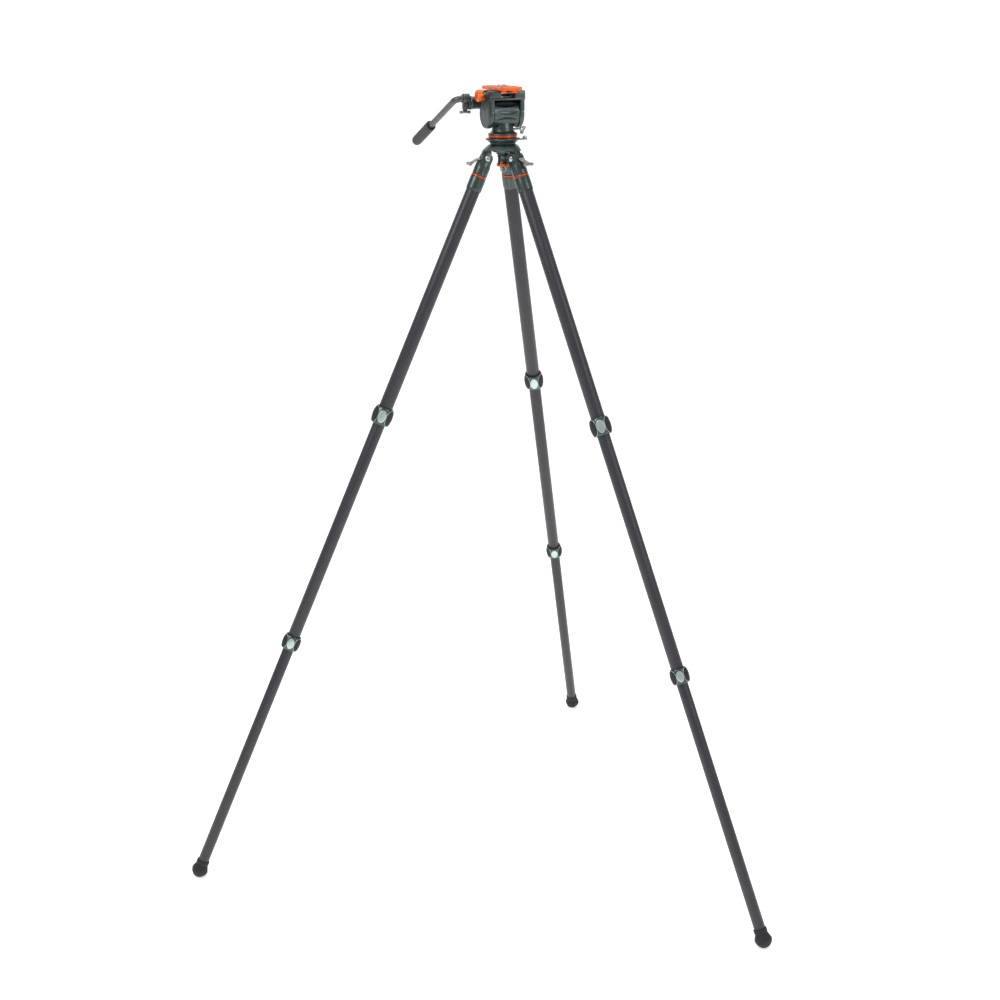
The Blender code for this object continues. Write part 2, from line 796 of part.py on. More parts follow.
def tilt_cap():
    profile = [
        (0.0, 0.0027),
        (CAP_R - 0.0030, 0.0027),
        (CAP_R, 0.0012),
        (CAP_R, 0.0),
        (0.0, 0.0),
    ]
    body = turned("tilt_cap", profile, steps=24, axis="X")
    body.data.transform(Matrix.Translation((-ARM_OUT - GAP, 0, TILT_Z)) @ Matrix.Rotation(math.pi, 4, "Z"))
    return body


def tilt_lock():
    """Short lever on the right arm that locks the tilt."""
    near = ARM_OUT + GAP
    hub = rod("tilt_lock", LOCK_HUB_R, (near, 0, TILT_Z), (near + 0.0075, 0, TILT_Z), 20)
    outline = [(0.004, TILT_Z + 0.004), (0.0215, TILT_Z + 0.0035), (0.0225, TILT_Z - 0.0035), (0.004, TILT_Z - 0.006)]
    lever = flat_shape("lever", outline, near + 0.0015, near + 0.0072, "X", 0.0008)
    return join(hub, lever)


def clamp_jaw():
    low = (-ARM_OUT, YOKE_FRONT, DECK_TOP + GAP)
    jaw = block("clamp_jaw", low, (-CHANNEL_HALF, CLAMP_JAW_REAR, JAW_TOP), 0.0010)
    slot = flat_shape("slot", dovetail_outline(GAP), -0.08, 0.08, "Y")
    hole = rod("hole", CLAMP_SCREW_R + GAP, (-0.05, 0, KNOB_Z), (0.0, 0, KNOB_Z), 12)
    return cut(jaw, slot, hole)


def clamp_knob():
    """Scalloped knob; its screw runs through the moving jaw and threads into the fixed one."""
    profile = [
        (0.0, 0.0155),
        (KNOB_R - 0.0030, 0.0155),
        (KNOB_R, 0.0125),
        (KNOB_R, 0.0030),
        (KNOB_R - 0.0040, 0.0),
        (0.0, 0.0),
    ]
    knob = turned("clamp_knob", profile, steps=24, axis="X")
    for scallop in range(8):
        angle = math.radians(45 * scallop + 22.5)
        y = (KNOB_R + 0.0020) * math.cos(angle)
        z = (KNOB_R + 0.0020) * math.sin(angle)
        knob = cut(knob, rod("scallop", 0.0034, (0.002, y, z), (0.02, y, z), 8))
    far = -ARM_OUT - 0.0200
    knob.data.transform(Matrix.Translation((far, 0, KNOB_Z)))
    neck = rod("neck", 0.0042, (far + 0.010, 0, KNOB_Z), (-ARM_OUT - 0.0010, 0, KNOB_Z), 16)
    screw = rod("screw", CLAMP_SCREW_R, (-ARM_OUT - 0.0020, 0, KNOB_Z), (SCREW_TIP, 0, KNOB_Z), 12)
    return join(knob, neck, screw)


def plate_outline():
    """Rectangle with round corners."""
    corner = 0.0045
    front, rear = PLATE_Y
    x = PLATE_HALF - corner
    points = arc((x, rear - corner), corner, 0, 90, 4)
    points += arc((-x, rear - corner), corner, 90, 180, 4)
    points += arc((-x, front + corner), corner, 180, 270, 4)
    points += arc((x, front + corner), corner, 270, 360, 4)
    return points


def quick_plate():
    """Long plate with a dovetail rail below and a slot for the camera screw."""
    plate = flat_shape("quick_plate", plate_outline(), -PLATE_SLAB, 0.0, "Z", 0.0008)
    rail = flat_shape("rail", dovetail_outline(0.0), PLATE_Y[0] + 0.014, PLATE_Y[1] - 0.006, "Y")
    plate = join(plate, rail)
    slot_half = 0.0036
    outline = arc((0.0, SCREW_Y), slot_half, 0, 180, 6) + arc((0.0, -0.034), slot_half, 180, 360, 6)
    slot = flat_shape("slot", outline, -0.02, 0.01, "Z")
    wide_half = 0.0085
    outline = arc((0.0, SCREW_Y), wide_half, 0, 180, 8) + arc((0.0, -0.034), wide_half, 180, 360, 8)
    recess = flat_shape("recess", outline, -0.02, -0.0045, "Z")
    return cut(plate, slot, recess)


def camera_screw():
    """Screw that holds the camera: a thread above, a wide head in the plate's recess."""
    profile = [
        (0.0, 0.0040),
        (0.0027, 0.0040),
        (0.0032, 0.0034),
        (0.0032, -0.0048),
        (0.0078, -0.0048),
        (0.0078, -0.0100),
        (0.0070, -0.0110),
        (0.0, -0.0110),
    ]
    body = turned("camera_screw", profile, steps=16)
    body.data.transform(Matrix.Translation((0, SCREW_Y, 0)))
    return body


# ---------------------------------------------------------------- pan handle


def rosette_lug():
    y, z = ROSETTE.y, ROSETTE.z
    return rod("rosette_lug", ROSETTE_R, (LUG_X[0], y, z), (LUG_X[1], y, z), 24)


def handle_socket():
    """Toothed disc on the lug, with the clamp that holds the bar."""
    y, z = ROSETTE.y, ROSETTE.z
    disc = rod("handle_socket", ROSETTE_R - 0.0010, (SOCKET_X[1], y, z), (SOCKET_X[1] - 0.0045, y, z), 24)
    barrel = rod("barrel", 0.0102, (SOCKET_X[1] - 0.0010, y, BAR_Z), (SOCKET_X[0], y, BAR_Z), 20)
    foot_block = block("foot_block", (-0.0710, y - 0.0065, -0.0410), (-0.0590, y + 0.0065, BAR_Z), 0.0008)
    bore = rod("bore", BAR_R + GAP, (SOCKET_X[0] - 0.01, y, BAR_Z), (SOCKET_X[1] - 0.0050, y, BAR_Z), 20)
    screw_hole = rod("screw_hole", 0.0025 + GAP, (SCREW_X, y, -0.05), (SCREW_X, y, -0.0368), 12)
    return cut(join(disc, barrel, foot_block), bore, screw_hole)


def handle_screw():
    """Wing screw under the socket that tightens the bar."""
    y = ROSETTE.y
    shaft = rod("handle_screw", 0.0025, (SCREW_X, y, -0.0372), (SCREW_X, y, -0.0440), 12)
    hub = rod("hub", 0.0044, (SCREW_X, y, -0.0413), (SCREW_X, y, -0.0500), 12)
    wing = block("wing", (SCREW_X - 0.0120, y - 0.0022, -0.0540), (SCREW_X + 0.0120, y + 0.0022, -0.0475), 0.0014)
    return join(shaft, hub, wing)


def bar_points():
    """Centre line of the bar: out of the socket, round the elbow and back along the handle."""
    start = Vector((SOCKET_X[1] - 0.0054, ROSETTE.y, BAR_Z))
    corner = Vector((ELBOW_X, ROSETTE.y, BAR_Z))
    inward = Vector((1.0, 0.0, 0.0))
    turn = math.acos(-inward.dot(BAR_DIRECTION))
    tangent = ELBOW_R * math.tan(turn / 2)
    first = corner + inward * tangent
    last = corner + BAR_DIRECTION * tangent
    normal = (BAR_DIRECTION + inward).normalized()
    centre = corner + normal * (ELBOW_R / math.cos(turn / 2))
    first_arm = (first - centre).normalized()
    last_arm = (last - centre).normalized()
    points = [start, first]
    steps = 8
    for step in range(1, steps):
        points.append(centre + first_arm.slerp(last_arm, step / steps).normalized() * ELBOW_R)
    points.append(last)
    points.append(corner + BAR_DIRECTION * BAR_LENGTH)
    return points


def pan_bar():
    return wire("pan_bar", bar_points(), BAR_R, resolution=4)


def grip():
    """Foam grip over the bar's end, closed at the tip."""
    bore = BAR_R + 0.0005
    tip = 0.004
    profile = [
        (0.0, -0.0010),
        (bore, -0.0010),
        (bore, GRIP_LENGTH - tip),
        (GRIP_R - 0.0012, GRIP_LENGTH - tip),
        (GRIP_R, GRIP_LENGTH - tip - 0.0015),
        (GRIP_R, 0.0120),
        (GRIP_R - 0.0006, 0.0050),
        (GRIP_R - 0.0030, 0.0),
        (GRIP_R - 0.0065, -tip + 0.0008),
        (0.0, -tip),
    ]
    body = turned("grip", profile, steps=20)
    end = Vector((ELBOW_X, ROSETTE.y, BAR_Z)) + BAR_DIRECTION * (BAR_LENGTH + 0.0013)
    turn = (-BAR_DIRECTION).to_track_quat("Z", "Y").to_matrix().to_4x4()
    body.data.transform(Matrix.Translation(end) @ turn)
    return body


# ---------------------------------------------------------------- assembly


def finish_piece(obj, name, finish, collection, origin):
    """Name a piece, give it its material, smooth its round faces and set its origin on its axis."""
    obj.name = name
    obj.data.name = name
    obj.data.materials.clear()
    obj.data.materials.append(material(name, *FINISHES[finish]))
    obj.data.shade_smooth()
    obj.data.set_sharp_from_angle(angle=math.radians(35))
    obj.data.transform(Matrix.Translation(-Vector(origin)))
    obj.location = origin
    bpy.context.scene.collection.objects.unlink(obj)
    collection.objects.link(obj)
    return obj


def make_empty(name, collection, matrix):
    empty = bpy.data.objects.new(name, None)
    empty.empty_display_size = 0.02
    collection.objects.link(empty)
    empty.matrix_world = matrix
    return empty


def build_legs(collection):
    """Model each leg piece once, then hang a copy of it from every hip."""
    pieces = leg_pieces()
    for leg, azimuth in LEG_AZIMUTHS.items():
        hip = make_empty(f"{leg}_hip", collection, hip_matrix(azimuth))
        for name, finish, pattern in pieces:
            copy = bpy.data.objects.new(f"{leg}_{name}", pattern.data.copy())
            bpy.context.scene.collection.objects.link(copy)
            origin = LATCH_ROOT if name == "stop_latch" else Vector((0, 0, 0))
            finish_piece(copy, f"{leg}_{name}", finish, collection, origin)
            copy.parent = hip
    for _, _, pattern in pieces:
        bpy.data.objects.remove(pattern, do_unlink=True)


def build_centre(collection):
    ball = (0.0, 0.0, BALL_Z)
    pan = (0.0, 0.0, PAN_BASE_Z)
    tilt = (0.0, 0.0, TILT_Z)
    rosette = (LUG_X[0], ROSETTE.y, ROSETTE.z)
    pieces = [
        ("spider", "green_grey_metal", spider(), (0.0, 0.0, HIP_Z)),
        ("ball_liner", "liner", ball_liner(), ball),
        ("level_flange", "green_grey_metal", level_flange(), ball),
        ("bubble_level", "glass", bubble_level(), ball),
        ("level_handle", "green_grey_metal", level_handle(), ball),
        ("handle_ring", "orange_metal", handle_ring(), ball),
        ("hook_ring", "steel", hook_ring(), (0.0, 0.0, HOOK_Z)),
        ("base_ring", "orange_metal", base_ring(), pan),
        ("pan_base", "green_grey_metal", pan_base(), pan),
        ("pan_lock", "steel", pan_lock(), (0.0, 0.0, -0.0855)),
        ("drum_body", "green_grey_metal", drum_body(), tilt),
        ("tilt_shaft", "steel", tilt_shaft(), tilt),
        ("tilt_yoke", "green_grey_metal", tilt_yoke(), tilt),
        ("tilt_cap", "dark_metal", tilt_cap(), tilt),
        ("tilt_lock", "dark_metal", tilt_lock(), tilt),
        ("clamp_jaw", "green_grey_metal", clamp_jaw(), (0.0, 0.0, JAW_TOP)),
        ("clamp_knob", "orange_metal", clamp_knob(), (0.0, 0.0, KNOB_Z)),
        ("quick_plate", "orange_metal", quick_plate(), (0.0, 0.0, 0.0)),
        ("camera_screw", "steel", camera_screw(), (0.0, SCREW_Y, 0.0)),
        ("rosette_lug", "dark_metal", rosette_lug(), rosette),
        ("handle_socket", "dark_metal", handle_socket(), rosette),
        ("handle_screw", "dark_metal", handle_screw(), (SCREW_X, ROSETTE.y, ROSETTE.z)),
        ("pan_bar", "dark_metal", pan_bar(), rosette),
        ("grip", "rubber", grip(), rosette),
    ]
    for name, finish, obj, origin in pieces:
        finish_piece(obj, name, finish, collection, origin)


def main():
    clear_scene()
    collection = make_collection(PARTS)
    build_centre(collection)
    build_legs(collection)


main()
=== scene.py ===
"""Looks of the tripod with fluid head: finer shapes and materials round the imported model.

Joints give the axes and node boxes the overall sizes. Details inside a piece, such as grooves,
bevels and some of the heights along a turned profile, are numbers in metres in the same frame.
"""

import json
from math import acos, asin, atan2, copysign, cos, degrees, hypot, pi, radians, sin, sqrt, tan

import bmesh
import bpy
from mathutils import Matrix, Vector


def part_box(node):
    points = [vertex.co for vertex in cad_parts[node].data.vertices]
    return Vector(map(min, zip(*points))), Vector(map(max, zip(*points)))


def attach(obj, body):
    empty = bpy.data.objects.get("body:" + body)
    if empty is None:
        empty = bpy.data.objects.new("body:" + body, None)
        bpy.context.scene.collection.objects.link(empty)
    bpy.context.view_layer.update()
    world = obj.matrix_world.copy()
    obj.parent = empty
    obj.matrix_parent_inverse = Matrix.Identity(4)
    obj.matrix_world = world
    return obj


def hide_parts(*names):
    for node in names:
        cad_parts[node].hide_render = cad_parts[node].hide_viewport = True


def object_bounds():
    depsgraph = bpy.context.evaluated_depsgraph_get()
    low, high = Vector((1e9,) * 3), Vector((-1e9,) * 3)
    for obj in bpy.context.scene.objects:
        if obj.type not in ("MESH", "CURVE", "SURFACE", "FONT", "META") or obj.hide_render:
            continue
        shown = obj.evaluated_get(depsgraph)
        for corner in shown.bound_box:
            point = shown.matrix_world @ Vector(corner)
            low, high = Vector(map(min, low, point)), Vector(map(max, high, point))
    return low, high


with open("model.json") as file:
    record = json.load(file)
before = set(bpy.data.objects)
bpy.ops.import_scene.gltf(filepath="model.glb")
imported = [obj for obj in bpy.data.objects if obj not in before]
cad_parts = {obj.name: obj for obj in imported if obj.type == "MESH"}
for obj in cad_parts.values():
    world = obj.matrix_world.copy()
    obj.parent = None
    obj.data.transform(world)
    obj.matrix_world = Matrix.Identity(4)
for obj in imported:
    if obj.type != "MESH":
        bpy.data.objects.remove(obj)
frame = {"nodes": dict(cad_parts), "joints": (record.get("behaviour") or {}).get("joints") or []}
cad_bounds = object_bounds()

JOINTS = {joint["name"]: joint for joint in frame["joints"]}
LEGS = ("left", "rear", "right")
FINE = 64
HINGE_HOLE_R = 0.0033  # round a leg's 6 mm hinge bolt
M5_HOLE_R = 0.0028
CLAMP_GAP = 0.0003  # between a dovetail and its channel


# ---------------------------------------------------------------- materials


def node_material(name, roughness, metallic=0.0):
    made = bpy.data.materials.new(name)
    made.use_nodes = True
    shader = made.node_tree.nodes["Principled BSDF"]
    shader.inputs["Roughness"].default_value = roughness
    shader.inputs["Metallic"].default_value = metallic
    return made, made.node_tree, shader


def add(tree, kind, **settings):
    node = tree.nodes.new(kind)
    for key, value in settings.items():
        setattr(node, key, value)
    return node


def noise(tree, scale, detail=3.0, vector=None):
    made = add(tree, "ShaderNodeTexNoise")
    made.inputs["Scale"].default_value = scale
    made.inputs["Detail"].default_value = detail
    coords = vector or add(tree, "ShaderNodeTexCoord").outputs["Object"]
    tree.links.new(coords, made.inputs["Vector"])
    return made.outputs["Fac"]


def ramp(tree, value, low, high, start=0.3, end=0.7):
    made = add(tree, "ShaderNodeValToRGB")
    made.color_ramp.elements[0].position = start
    made.color_ramp.elements[1].position = end
    made.color_ramp.elements[0].color = (*low, 1.0)
    made.color_ramp.elements[1].color = (*high, 1.0)
    tree.links.new(value, made.inputs["Fac"])
    return made.outputs["Color"]


def spread(tree, value, low, high):
    made = add(tree, "ShaderNodeMapRange")
    made.inputs["To Min"].default_value = low
    made.inputs["To Max"].default_value = high
    tree.links.new(value, made.inputs["Value"])
    return made.outputs["Result"]


def bump(tree, shader, height, strength, distance):
    made = add(tree, "ShaderNodeBump")
    made.inputs["Strength"].default_value = strength
    made.inputs["Distance"].default_value = distance
    tree.links.new(height, made.inputs["Height"])
    tree.links.new(made.outputs["Normal"], shader.inputs["Normal"])


def anodised(name, low, high, roughness, metallic, grain=2600.0):
    """Blasted and anodised aluminium: a faint cloud in the colour and a fine grain."""
    made, tree, shader = node_material(name, roughness, metallic)
    cloud = noise(tree, 60.0)
    fine = noise(tree, grain, 2.0)
    tree.links.new(ramp(tree, cloud, low, high), shader.inputs["Base Color"])
    tree.links.new(spread(tree, fine, roughness - 0.06, roughness + 0.08), shader.inputs["Roughness"])
    bump(tree, shader, fine, 0.12, 0.0002)
    return made


def carbon_fibre():
    """Two-by-two twill under lacquer, laid round a tube whose axis is the piece's own Z."""
    made, tree, shader = node_material("carbon_fibre", 0.4)
    shader.inputs["Coat Weight"].default_value = 0.15
    shader.inputs["Coat Roughness"].default_value = 0.28
    shader.inputs["Specular IOR Level"].default_value = 0.45
    split = add(tree, "ShaderNodeSeparateXYZ")
    tree.links.new(add(tree, "ShaderNodeTexCoord").outputs["Object"], split.inputs["Vector"])

    def math_node(operation, first, second=None):
        node = add(tree, "ShaderNodeMath", operation=operation)
        for socket, value in zip(node.inputs, (first, second)):
            if isinstance(value, (int, float)):
                socket.default_value = value
            elif value is not None:
                tree.links.new(value, socket)
        return node.outputs["Value"]

    angle = math_node("ARCTAN2", split.outputs["Y"], split.outputs["X"])
    tows_round = 48
    tow = 0.0019
    across = math_node("MULTIPLY", angle, tows_round / (2 * pi))
    along = math_node("DIVIDE", split.outputs["Z"], tow)
    cell = math_node("ADD", math_node("FLOOR", across), math_node("FLOOR", along))
    phase = math_node("FRACT", math_node("DIVIDE", cell, 4.0))
    warp = math_node("LESS_THAN", phase, 0.49)
    round_a = math_node("PINGPONG", across, 0.5)
    round_b = math_node("PINGPONG", along, 0.5)
    crown = add(tree, "ShaderNodeMix")
    tree.links.new(warp, crown.inputs["Factor"])
    tree.links.new(round_b, crown.inputs["A"])
    tree.links.new(round_a, crown.inputs["B"])
    colour = ramp(tree, warp, (0.026, 0.025, 0.031), (0.040, 0.038, 0.047), 0.0, 1.0)
    mixed = add(tree, "ShaderNodeMix", data_type="RGBA", blend_type="MULTIPLY")
    mixed.inputs["Factor"].default_value = 0.5
    tree.links.new(colour, mixed.inputs["A"])
    tree.links.new(ramp(tree, noise(tree, 25.0), (0.7, 0.7, 0.72), (1.0, 1.0, 1.0)), mixed.inputs["B"])
    tree.links.new(mixed.outputs["Result"], shader.inputs["Base Color"])
    tree.links.new(spread(tree, warp, 0.40, 0.50), shader.inputs["Roughness"])
    bump(tree, shader, crown.outputs["Result"], 0.10, 0.0002)
    return made


def rubber(name, low, high, scale, strength):
    made, tree, shader = node_material(name, 0.7)
    grain = noise(tree, scale, 4.0)
    tree.links.new(ramp(tree, grain, low, high), shader.inputs["Base Color"])
    tree.links.new(spread(tree, noise(tree, 90.0), 0.60, 0.78), shader.inputs["Roughness"])
    bump(tree, shader, grain, strength, 0.0004)
    return made


def vial():
    made, tree, shader = node_material("vial", 0.06)
    shader.inputs["Transmission Weight"].default_value = 0.45
    shader.inputs["IOR"].default_value = 1.47
    tree.links.new(
        ramp(tree, noise(tree, 120.0), (0.42, 0.62, 0.10), (0.55, 0.74, 0.16)), shader.inputs["Base Color"]
    )
    return made


# finish: (slot, darkest colour, lightest colour, roughness, metallic)
METALS = {
    "green_grey": ("green_grey_metal", (0.072, 0.098, 0.095), (0.096, 0.127, 0.122), 0.30, 0.85),
    # a pale copy of the green-grey metal: painted highlight and painted reflection on the locks' oval
    # facets and lobe edges
    "highlight_painted_metal": ("green_grey_metal", (0.50, 0.62, 0.59), (0.62, 0.73, 0.70), 0.30, 0.75),
    "dark_metal": ("dark_metal", (0.040, 0.043, 0.046), (0.060, 0.063, 0.067), 0.38, 0.7),
    "cap_metal": ("dark_metal", (0.105, 0.108, 0.112), (0.140, 0.143, 0.148), 0.44, 0.7),
    "bar_metal": ("dark_metal", (0.095, 0.095, 0.102), (0.125, 0.125, 0.132), 0.33, 0.8),
    "orange": ("orange_metal", (0.62, 0.085, 0.016), (0.74, 0.120, 0.022), 0.30, 0.7),
    # the same orange anodising painted brighter: painted light on the plate and the knob
    "orange_painted_lit": ("orange_metal", (0.86, 0.125, 0.014), (0.95, 0.170, 0.020), 0.28, 0.6),
    "steel": ("steel", (0.55, 0.55, 0.57), (0.70, 0.70, 0.71), 0.22, 1.0),
    "warm_steel": ("steel", (0.28, 0.27, 0.25), (0.38, 0.36, 0.33), 0.36, 0.9),
}
# finish: (slot, darkest colour, lightest colour, grain per metre, depth of the grain)
SOFT = {
    "rubber": ("rubber", (0.008, 0.0085, 0.011), (0.018, 0.019, 0.023), 1400.0, 0.3),
    "foam": ("rubber", (0.030, 0.031, 0.034), (0.062, 0.063, 0.067), 2200.0, 0.5),
    "nylon": ("liner", (0.080, 0.080, 0.085), (0.115, 0.115, 0.120), 700.0, 0.1),
}
MATERIALS = {name: anodised(name, *finish[1:]) for name, finish in METALS.items()}
MATERIALS["carbon"] = carbon_fibre()
MATERIALS |= {name: rubber(name, *finish[1:]) for name, finish in SOFT.items()}
MATERIALS["vial"] = vial()
SLOTS = {name: finish[0] for name, finish in (METALS | SOFT).items()}
SLOTS |= {"carbon": "carbon", "vial": "glass"}


# ---------------------------------------------------------------- modelling helpers


def link(name, mesh):
    obj = bpy.data.objects.new(name, mesh)
    bpy.context.scene.collection.objects.link(obj)
    return obj


def mesh_object(name, bm):
    bmesh.ops.recalc_face_normals(bm, faces=bm.faces)
    mesh = bpy.data.meshes.new(name)
    bm.to_mesh(mesh)
    bm.free()
    return link(name, mesh)


def skin(name, rings, closed_loop=False, caps=True):
    """Join rings of points into a surface, with end caps or as a closed loop of rings."""
    bm = bmesh.new()
    rows = [[bm.verts.new(point) for point in ring] for ring in rings]
    pairs = list(zip(rows, rows[1:]))
    if closed_loop:
        pairs.append((rows[-1], rows[0]))
    count = len(rows[0])
    for upper, lower in pairs:
        for i in range(count):
            j = (i + 1) % count
            bm.faces.new((upper[i], upper[j], lower[j], lower[i]))
    if caps and not closed_loop:
        bm.faces.new(rows[0])
        bm.faces.new(rows[-1])
    return mesh_object(name, bm)


def ring_at(height, steps, radius_at):
    """Points round Z at one height; radius_at gives the radius at each angle."""
    points = []
    for i in range(steps):
        angle = 2 * pi * i / steps
        here = radius_at(angle)
        points.append((here * cos(angle), here * sin(angle), height))
    return points


def circle(radius, height, steps):
    return ring_at(height, steps, lambda angle: radius)


def scallop(depth, count, angle):
    """Depth of evenly spaced flutes at an angle."""
    return depth * (0.5 - 0.5 * cos(count * angle))


def soft(value, power):
    """A sine or cosine to a power with its sign kept, which squares a circle off."""
    return copysign(abs(value) ** power, value)


def rounded(profile, radius, closed):
    """Cut each corner of a profile with a small two-point round."""
    result = []
    count = len(profile)
    for i, here in enumerate(profile):
        here = Vector(here)
        if not closed and i in (0, count - 1):
            result.append(tuple(here))
            continue
        before = Vector(profile[i - 1]) - here
        after = Vector(profile[(i + 1) % count]) - here
        reach = min(radius, before.length * 0.4, after.length * 0.4)
        for share in (0.0, 0.5, 1.0):
            a = here + before.normalized() * reach * (1 - share)
            b = here + after.normalized() * reach * share
            result.append(tuple(a.lerp(b, share)))
    return result


def turned(name, profile, closed=False, steps=FINE, edge=0.0005):
    """A turned piece about Z; an open profile ends in flat caps."""
    if edge:
        profile = rounded(profile, edge, closed)
    return skin(name, [circle(r, z, steps) for r, z in profile], closed)


def box_piece(name, low, high, bevel):
    bm = bmesh.new()
    bmesh.ops.create_cube(bm, size=1.0)
    low, high = Vector(low), Vector(high)
    bmesh.ops.scale(bm, vec=high - low, verts=bm.verts)
    bmesh.ops.translate(bm, vec=(low + high) / 2, verts=bm.verts)
    if bevel:
        bmesh.ops.bevel(bm, geom=bm.edges[:], offset=bevel, segments=3, affect="EDGES", profile=0.5)
    return mesh_object(name, bm)


def prism(name, outline, low, high, bevel=0.0, segments=2):
    """An outline of (x, y) points pushed up along Z."""
    bm = bmesh.new()
    bottom = [bm.verts.new((x, y, low)) for x, y in outline]
    top = [bm.verts.new((x, y, high)) for x, y in outline]
    bm.faces.new(bottom)
    bm.faces.new(top)
    for i in range(len(outline)):
        j = (i + 1) % len(outline)
        bm.faces.new((bottom[i], bottom[j], top[j], top[i]))
    bmesh.ops.recalc_face_normals(bm, faces=bm.faces)
    if bevel:
        flat = [edge for edge in bm.edges if abs(edge.verts[0].co.z - edge.verts[1].co.z) < 1e-7]
        bmesh.ops.bevel(bm, geom=flat, offset=bevel, segments=segments, affect="EDGES", profile=0.5)
    return mesh_object(name, bm)


def boolean(target, tool, operation):
    modifier = target.modifiers.new("boolean", "BOOLEAN")
    modifier.object = tool
    modifier.operation = operation
    modifier.solver = "EXACT"
    bpy.context.view_layer.update()
    mesh = bpy.data.meshes.new_from_object(target.evaluated_get(bpy.context.evaluated_depsgraph_get()))
    target.modifiers.clear()
    target.data = mesh
    bpy.data.objects.remove(tool, do_unlink=True)
    return target


def cut(target, *tools):
    for tool in tools:
        target = boolean(target, tool, "DIFFERENCE")
    return target


def fuse(target, *tools):
    for tool in tools:
        target = boolean(target, tool, "UNION")
    return target


def move(obj, matrix):
    obj.data.transform(matrix)
    return obj


def place(obj, matrix, look, body, *nodes, sharp=38.0):
    """Stand a piece in the frame, give it its finish, and tie it to its body."""
    obj.data.materials.clear()
    obj.data.materials.append(MATERIALS[look])
    obj.data.shade_smooth()
    obj.data.set_sharp_from_angle(angle=radians(sharp))
    obj.matrix_world = matrix
    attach(obj, body)
    if nodes:
        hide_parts(*nodes)
    return obj


def arc(centre, radius, first, last, count):
    points = []
    for step in range(count + 1):
        angle = radians(first + (last - first) * step / count)
        points.append((centre[0] + radius * cos(angle), centre[1] + radius * sin(angle)))
    return points


ALONG_X = Matrix.Rotation(pi / 2, 4, "Y")
ALONG_Y = Matrix.Rotation(-pi / 2, 4, "X")
LAID_X = Matrix(((0, 0, 1, 0), (1, 0, 0, 0), (0, 1, 0, 0), (0, 0, 0, 1)))
LAID_Y = Matrix.Rotation(pi / 2, 4, "X")
HERE = Matrix.Identity(4)
shift = Matrix.Translation


def beside(x, y, *offsets):
    """Profile points given as their offsets from (x, y)."""
    return [(x + across, y + along) for across, along in offsets]


def drill(radius, first, last, steps, lay=HERE):
    """A round cutting bar between two places on its axis."""
    return move(turned("hole", [(radius, first), (radius, last)], steps=steps, edge=0), lay)


def joint_point(name):
    return Vector(JOINTS[name]["pos_m"])


def size_of(node):
    low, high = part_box(node)
    return high - low


# ---------------------------------------------------------------- legs


def leg_frame(leg):
    """The leg's own axes at its hinge: Z up the leg, X outwards, Y along the hinge."""
    up = Vector(JOINTS[f"{leg}_upper_lock_turn"]["axis"]).normalized()
    across = -Vector(JOINTS[f"{leg}_leg_swing"]["axis"]).normalized()
    out = across.cross(up)
    turn = Matrix((out, across, up)).transposed().to_4x4()
    return shift(joint_point(f"{leg}_leg_swing")) @ turn


def extent(leg, node):
    """A node's reach in its leg's own axes: lowest and highest (x, y, z)."""
    inverse = leg_frame(leg).inverted()
    places = [inverse @ vert.co for vert in frame["nodes"][node].data.vertices]
    low = Vector(min(p[i] for p in places) for i in range(3))
    high = Vector(max(p[i] for p in places) for i in range(3))
    return low, high


def leg_tube(leg, part, body):
    node = f"{leg}_{part}"
    low, high = extent(leg, node)
    wall = 0.0012
    profile = [(high.x, high.z), (high.x, low.z), (high.x - wall, low.z), (high.x - wall, high.z)]
    tube = turned(f"{node}_skin", profile, closed=True, edge=0.0003)
    place(tube, leg_frame(leg), "carbon", f"{leg}_{body}", node)


def leg_casting(leg):
    """Hinge casting with two ears, and the ferrule that grips the upper tube."""
    node = f"{leg}_leg_top"
    low, high = extent(leg, node)
    ring_low, ring_high = extent(leg, f"{leg}_accent_ring")
    tube_r = extent(leg, f"{leg}_upper_tube")[1].x
    matrix = leg_frame(leg)
    ear_r = high.z
    ear_y = high.y if high.y < 0.0150 else 0.0135
    body_r = 0.0155
    profile = [
        (0.0005, -0.0035), (0.0112, -0.0035), (0.0138, -0.0100), (body_r, -0.0165)
    ] + beside(body_r, ring_high.z, (0, 0.0018), (-0.0010, 0.0003)) + [(0.0005, ring_high.z + 0.0003)]
    casting = turned(f"{node}_casting", profile, edge=0.0006)
    outline = [(-ear_r, -0.020)] + arc((0, 0), ear_r, 180, 0, 24) + [(ear_r, -0.020)]
    ears = move(prism("ears", outline, -ear_y, ear_y, 0.0009), Matrix.Rotation(pi / 2, 4, "X"))
    slot = box_piece("slot", (-0.03, -0.0073, -0.0115), (0.03, 0.0073, 0.03), 0.0)
    flutes = []
    for side in (-1, 1):
        groove = turned(
            "groove", [(0.0001, 0.010), (0.0021, 0.008), (0.0021, -0.008), (0.0001, -0.010)], steps=16
        )
        flutes.append(move(groove, shift((0, side * (body_r + 0.0009), -0.0265))))
    hole = drill(HINGE_HOLE_R, 0.03, -0.03, 24, ALONG_Y)
    casting = cut(fuse(casting, ears), slot, hole, *flutes)
    place(casting, matrix, "green_grey", f"{leg}_leg", node)
    top = ring_low.z - 0.0003
    ferrule = turned(
        f"{node}_ferrule",
        [
            (body_r - 0.0004, top), (0.0160, top - 0.0012), (0.0160, low.z + 0.0030), (0.0155, low.z),
            (tube_r + 0.0002, low.z), (tube_r + 0.0002, top),
        ],
        closed=True,
    )
    place(ferrule, matrix, "green_grey", f"{leg}_leg", node)
    ring = turned(
        f"{leg}_accent_ring_fine",
        beside(
            ring_high.x, ring_high.z, (-0.0003, 0), (0, -0.0006)
        ) + beside(ring_high.x, ring_low.z, (0, 0.0006), (-0.0003, 0)) + [(0.0133, ring_low.z), (
            0.0133, ring_high.z
        )],
        closed=True, edge=0.0002,
    )
    place(ring, matrix, "orange", f"{leg}_leg", f"{leg}_accent_ring")


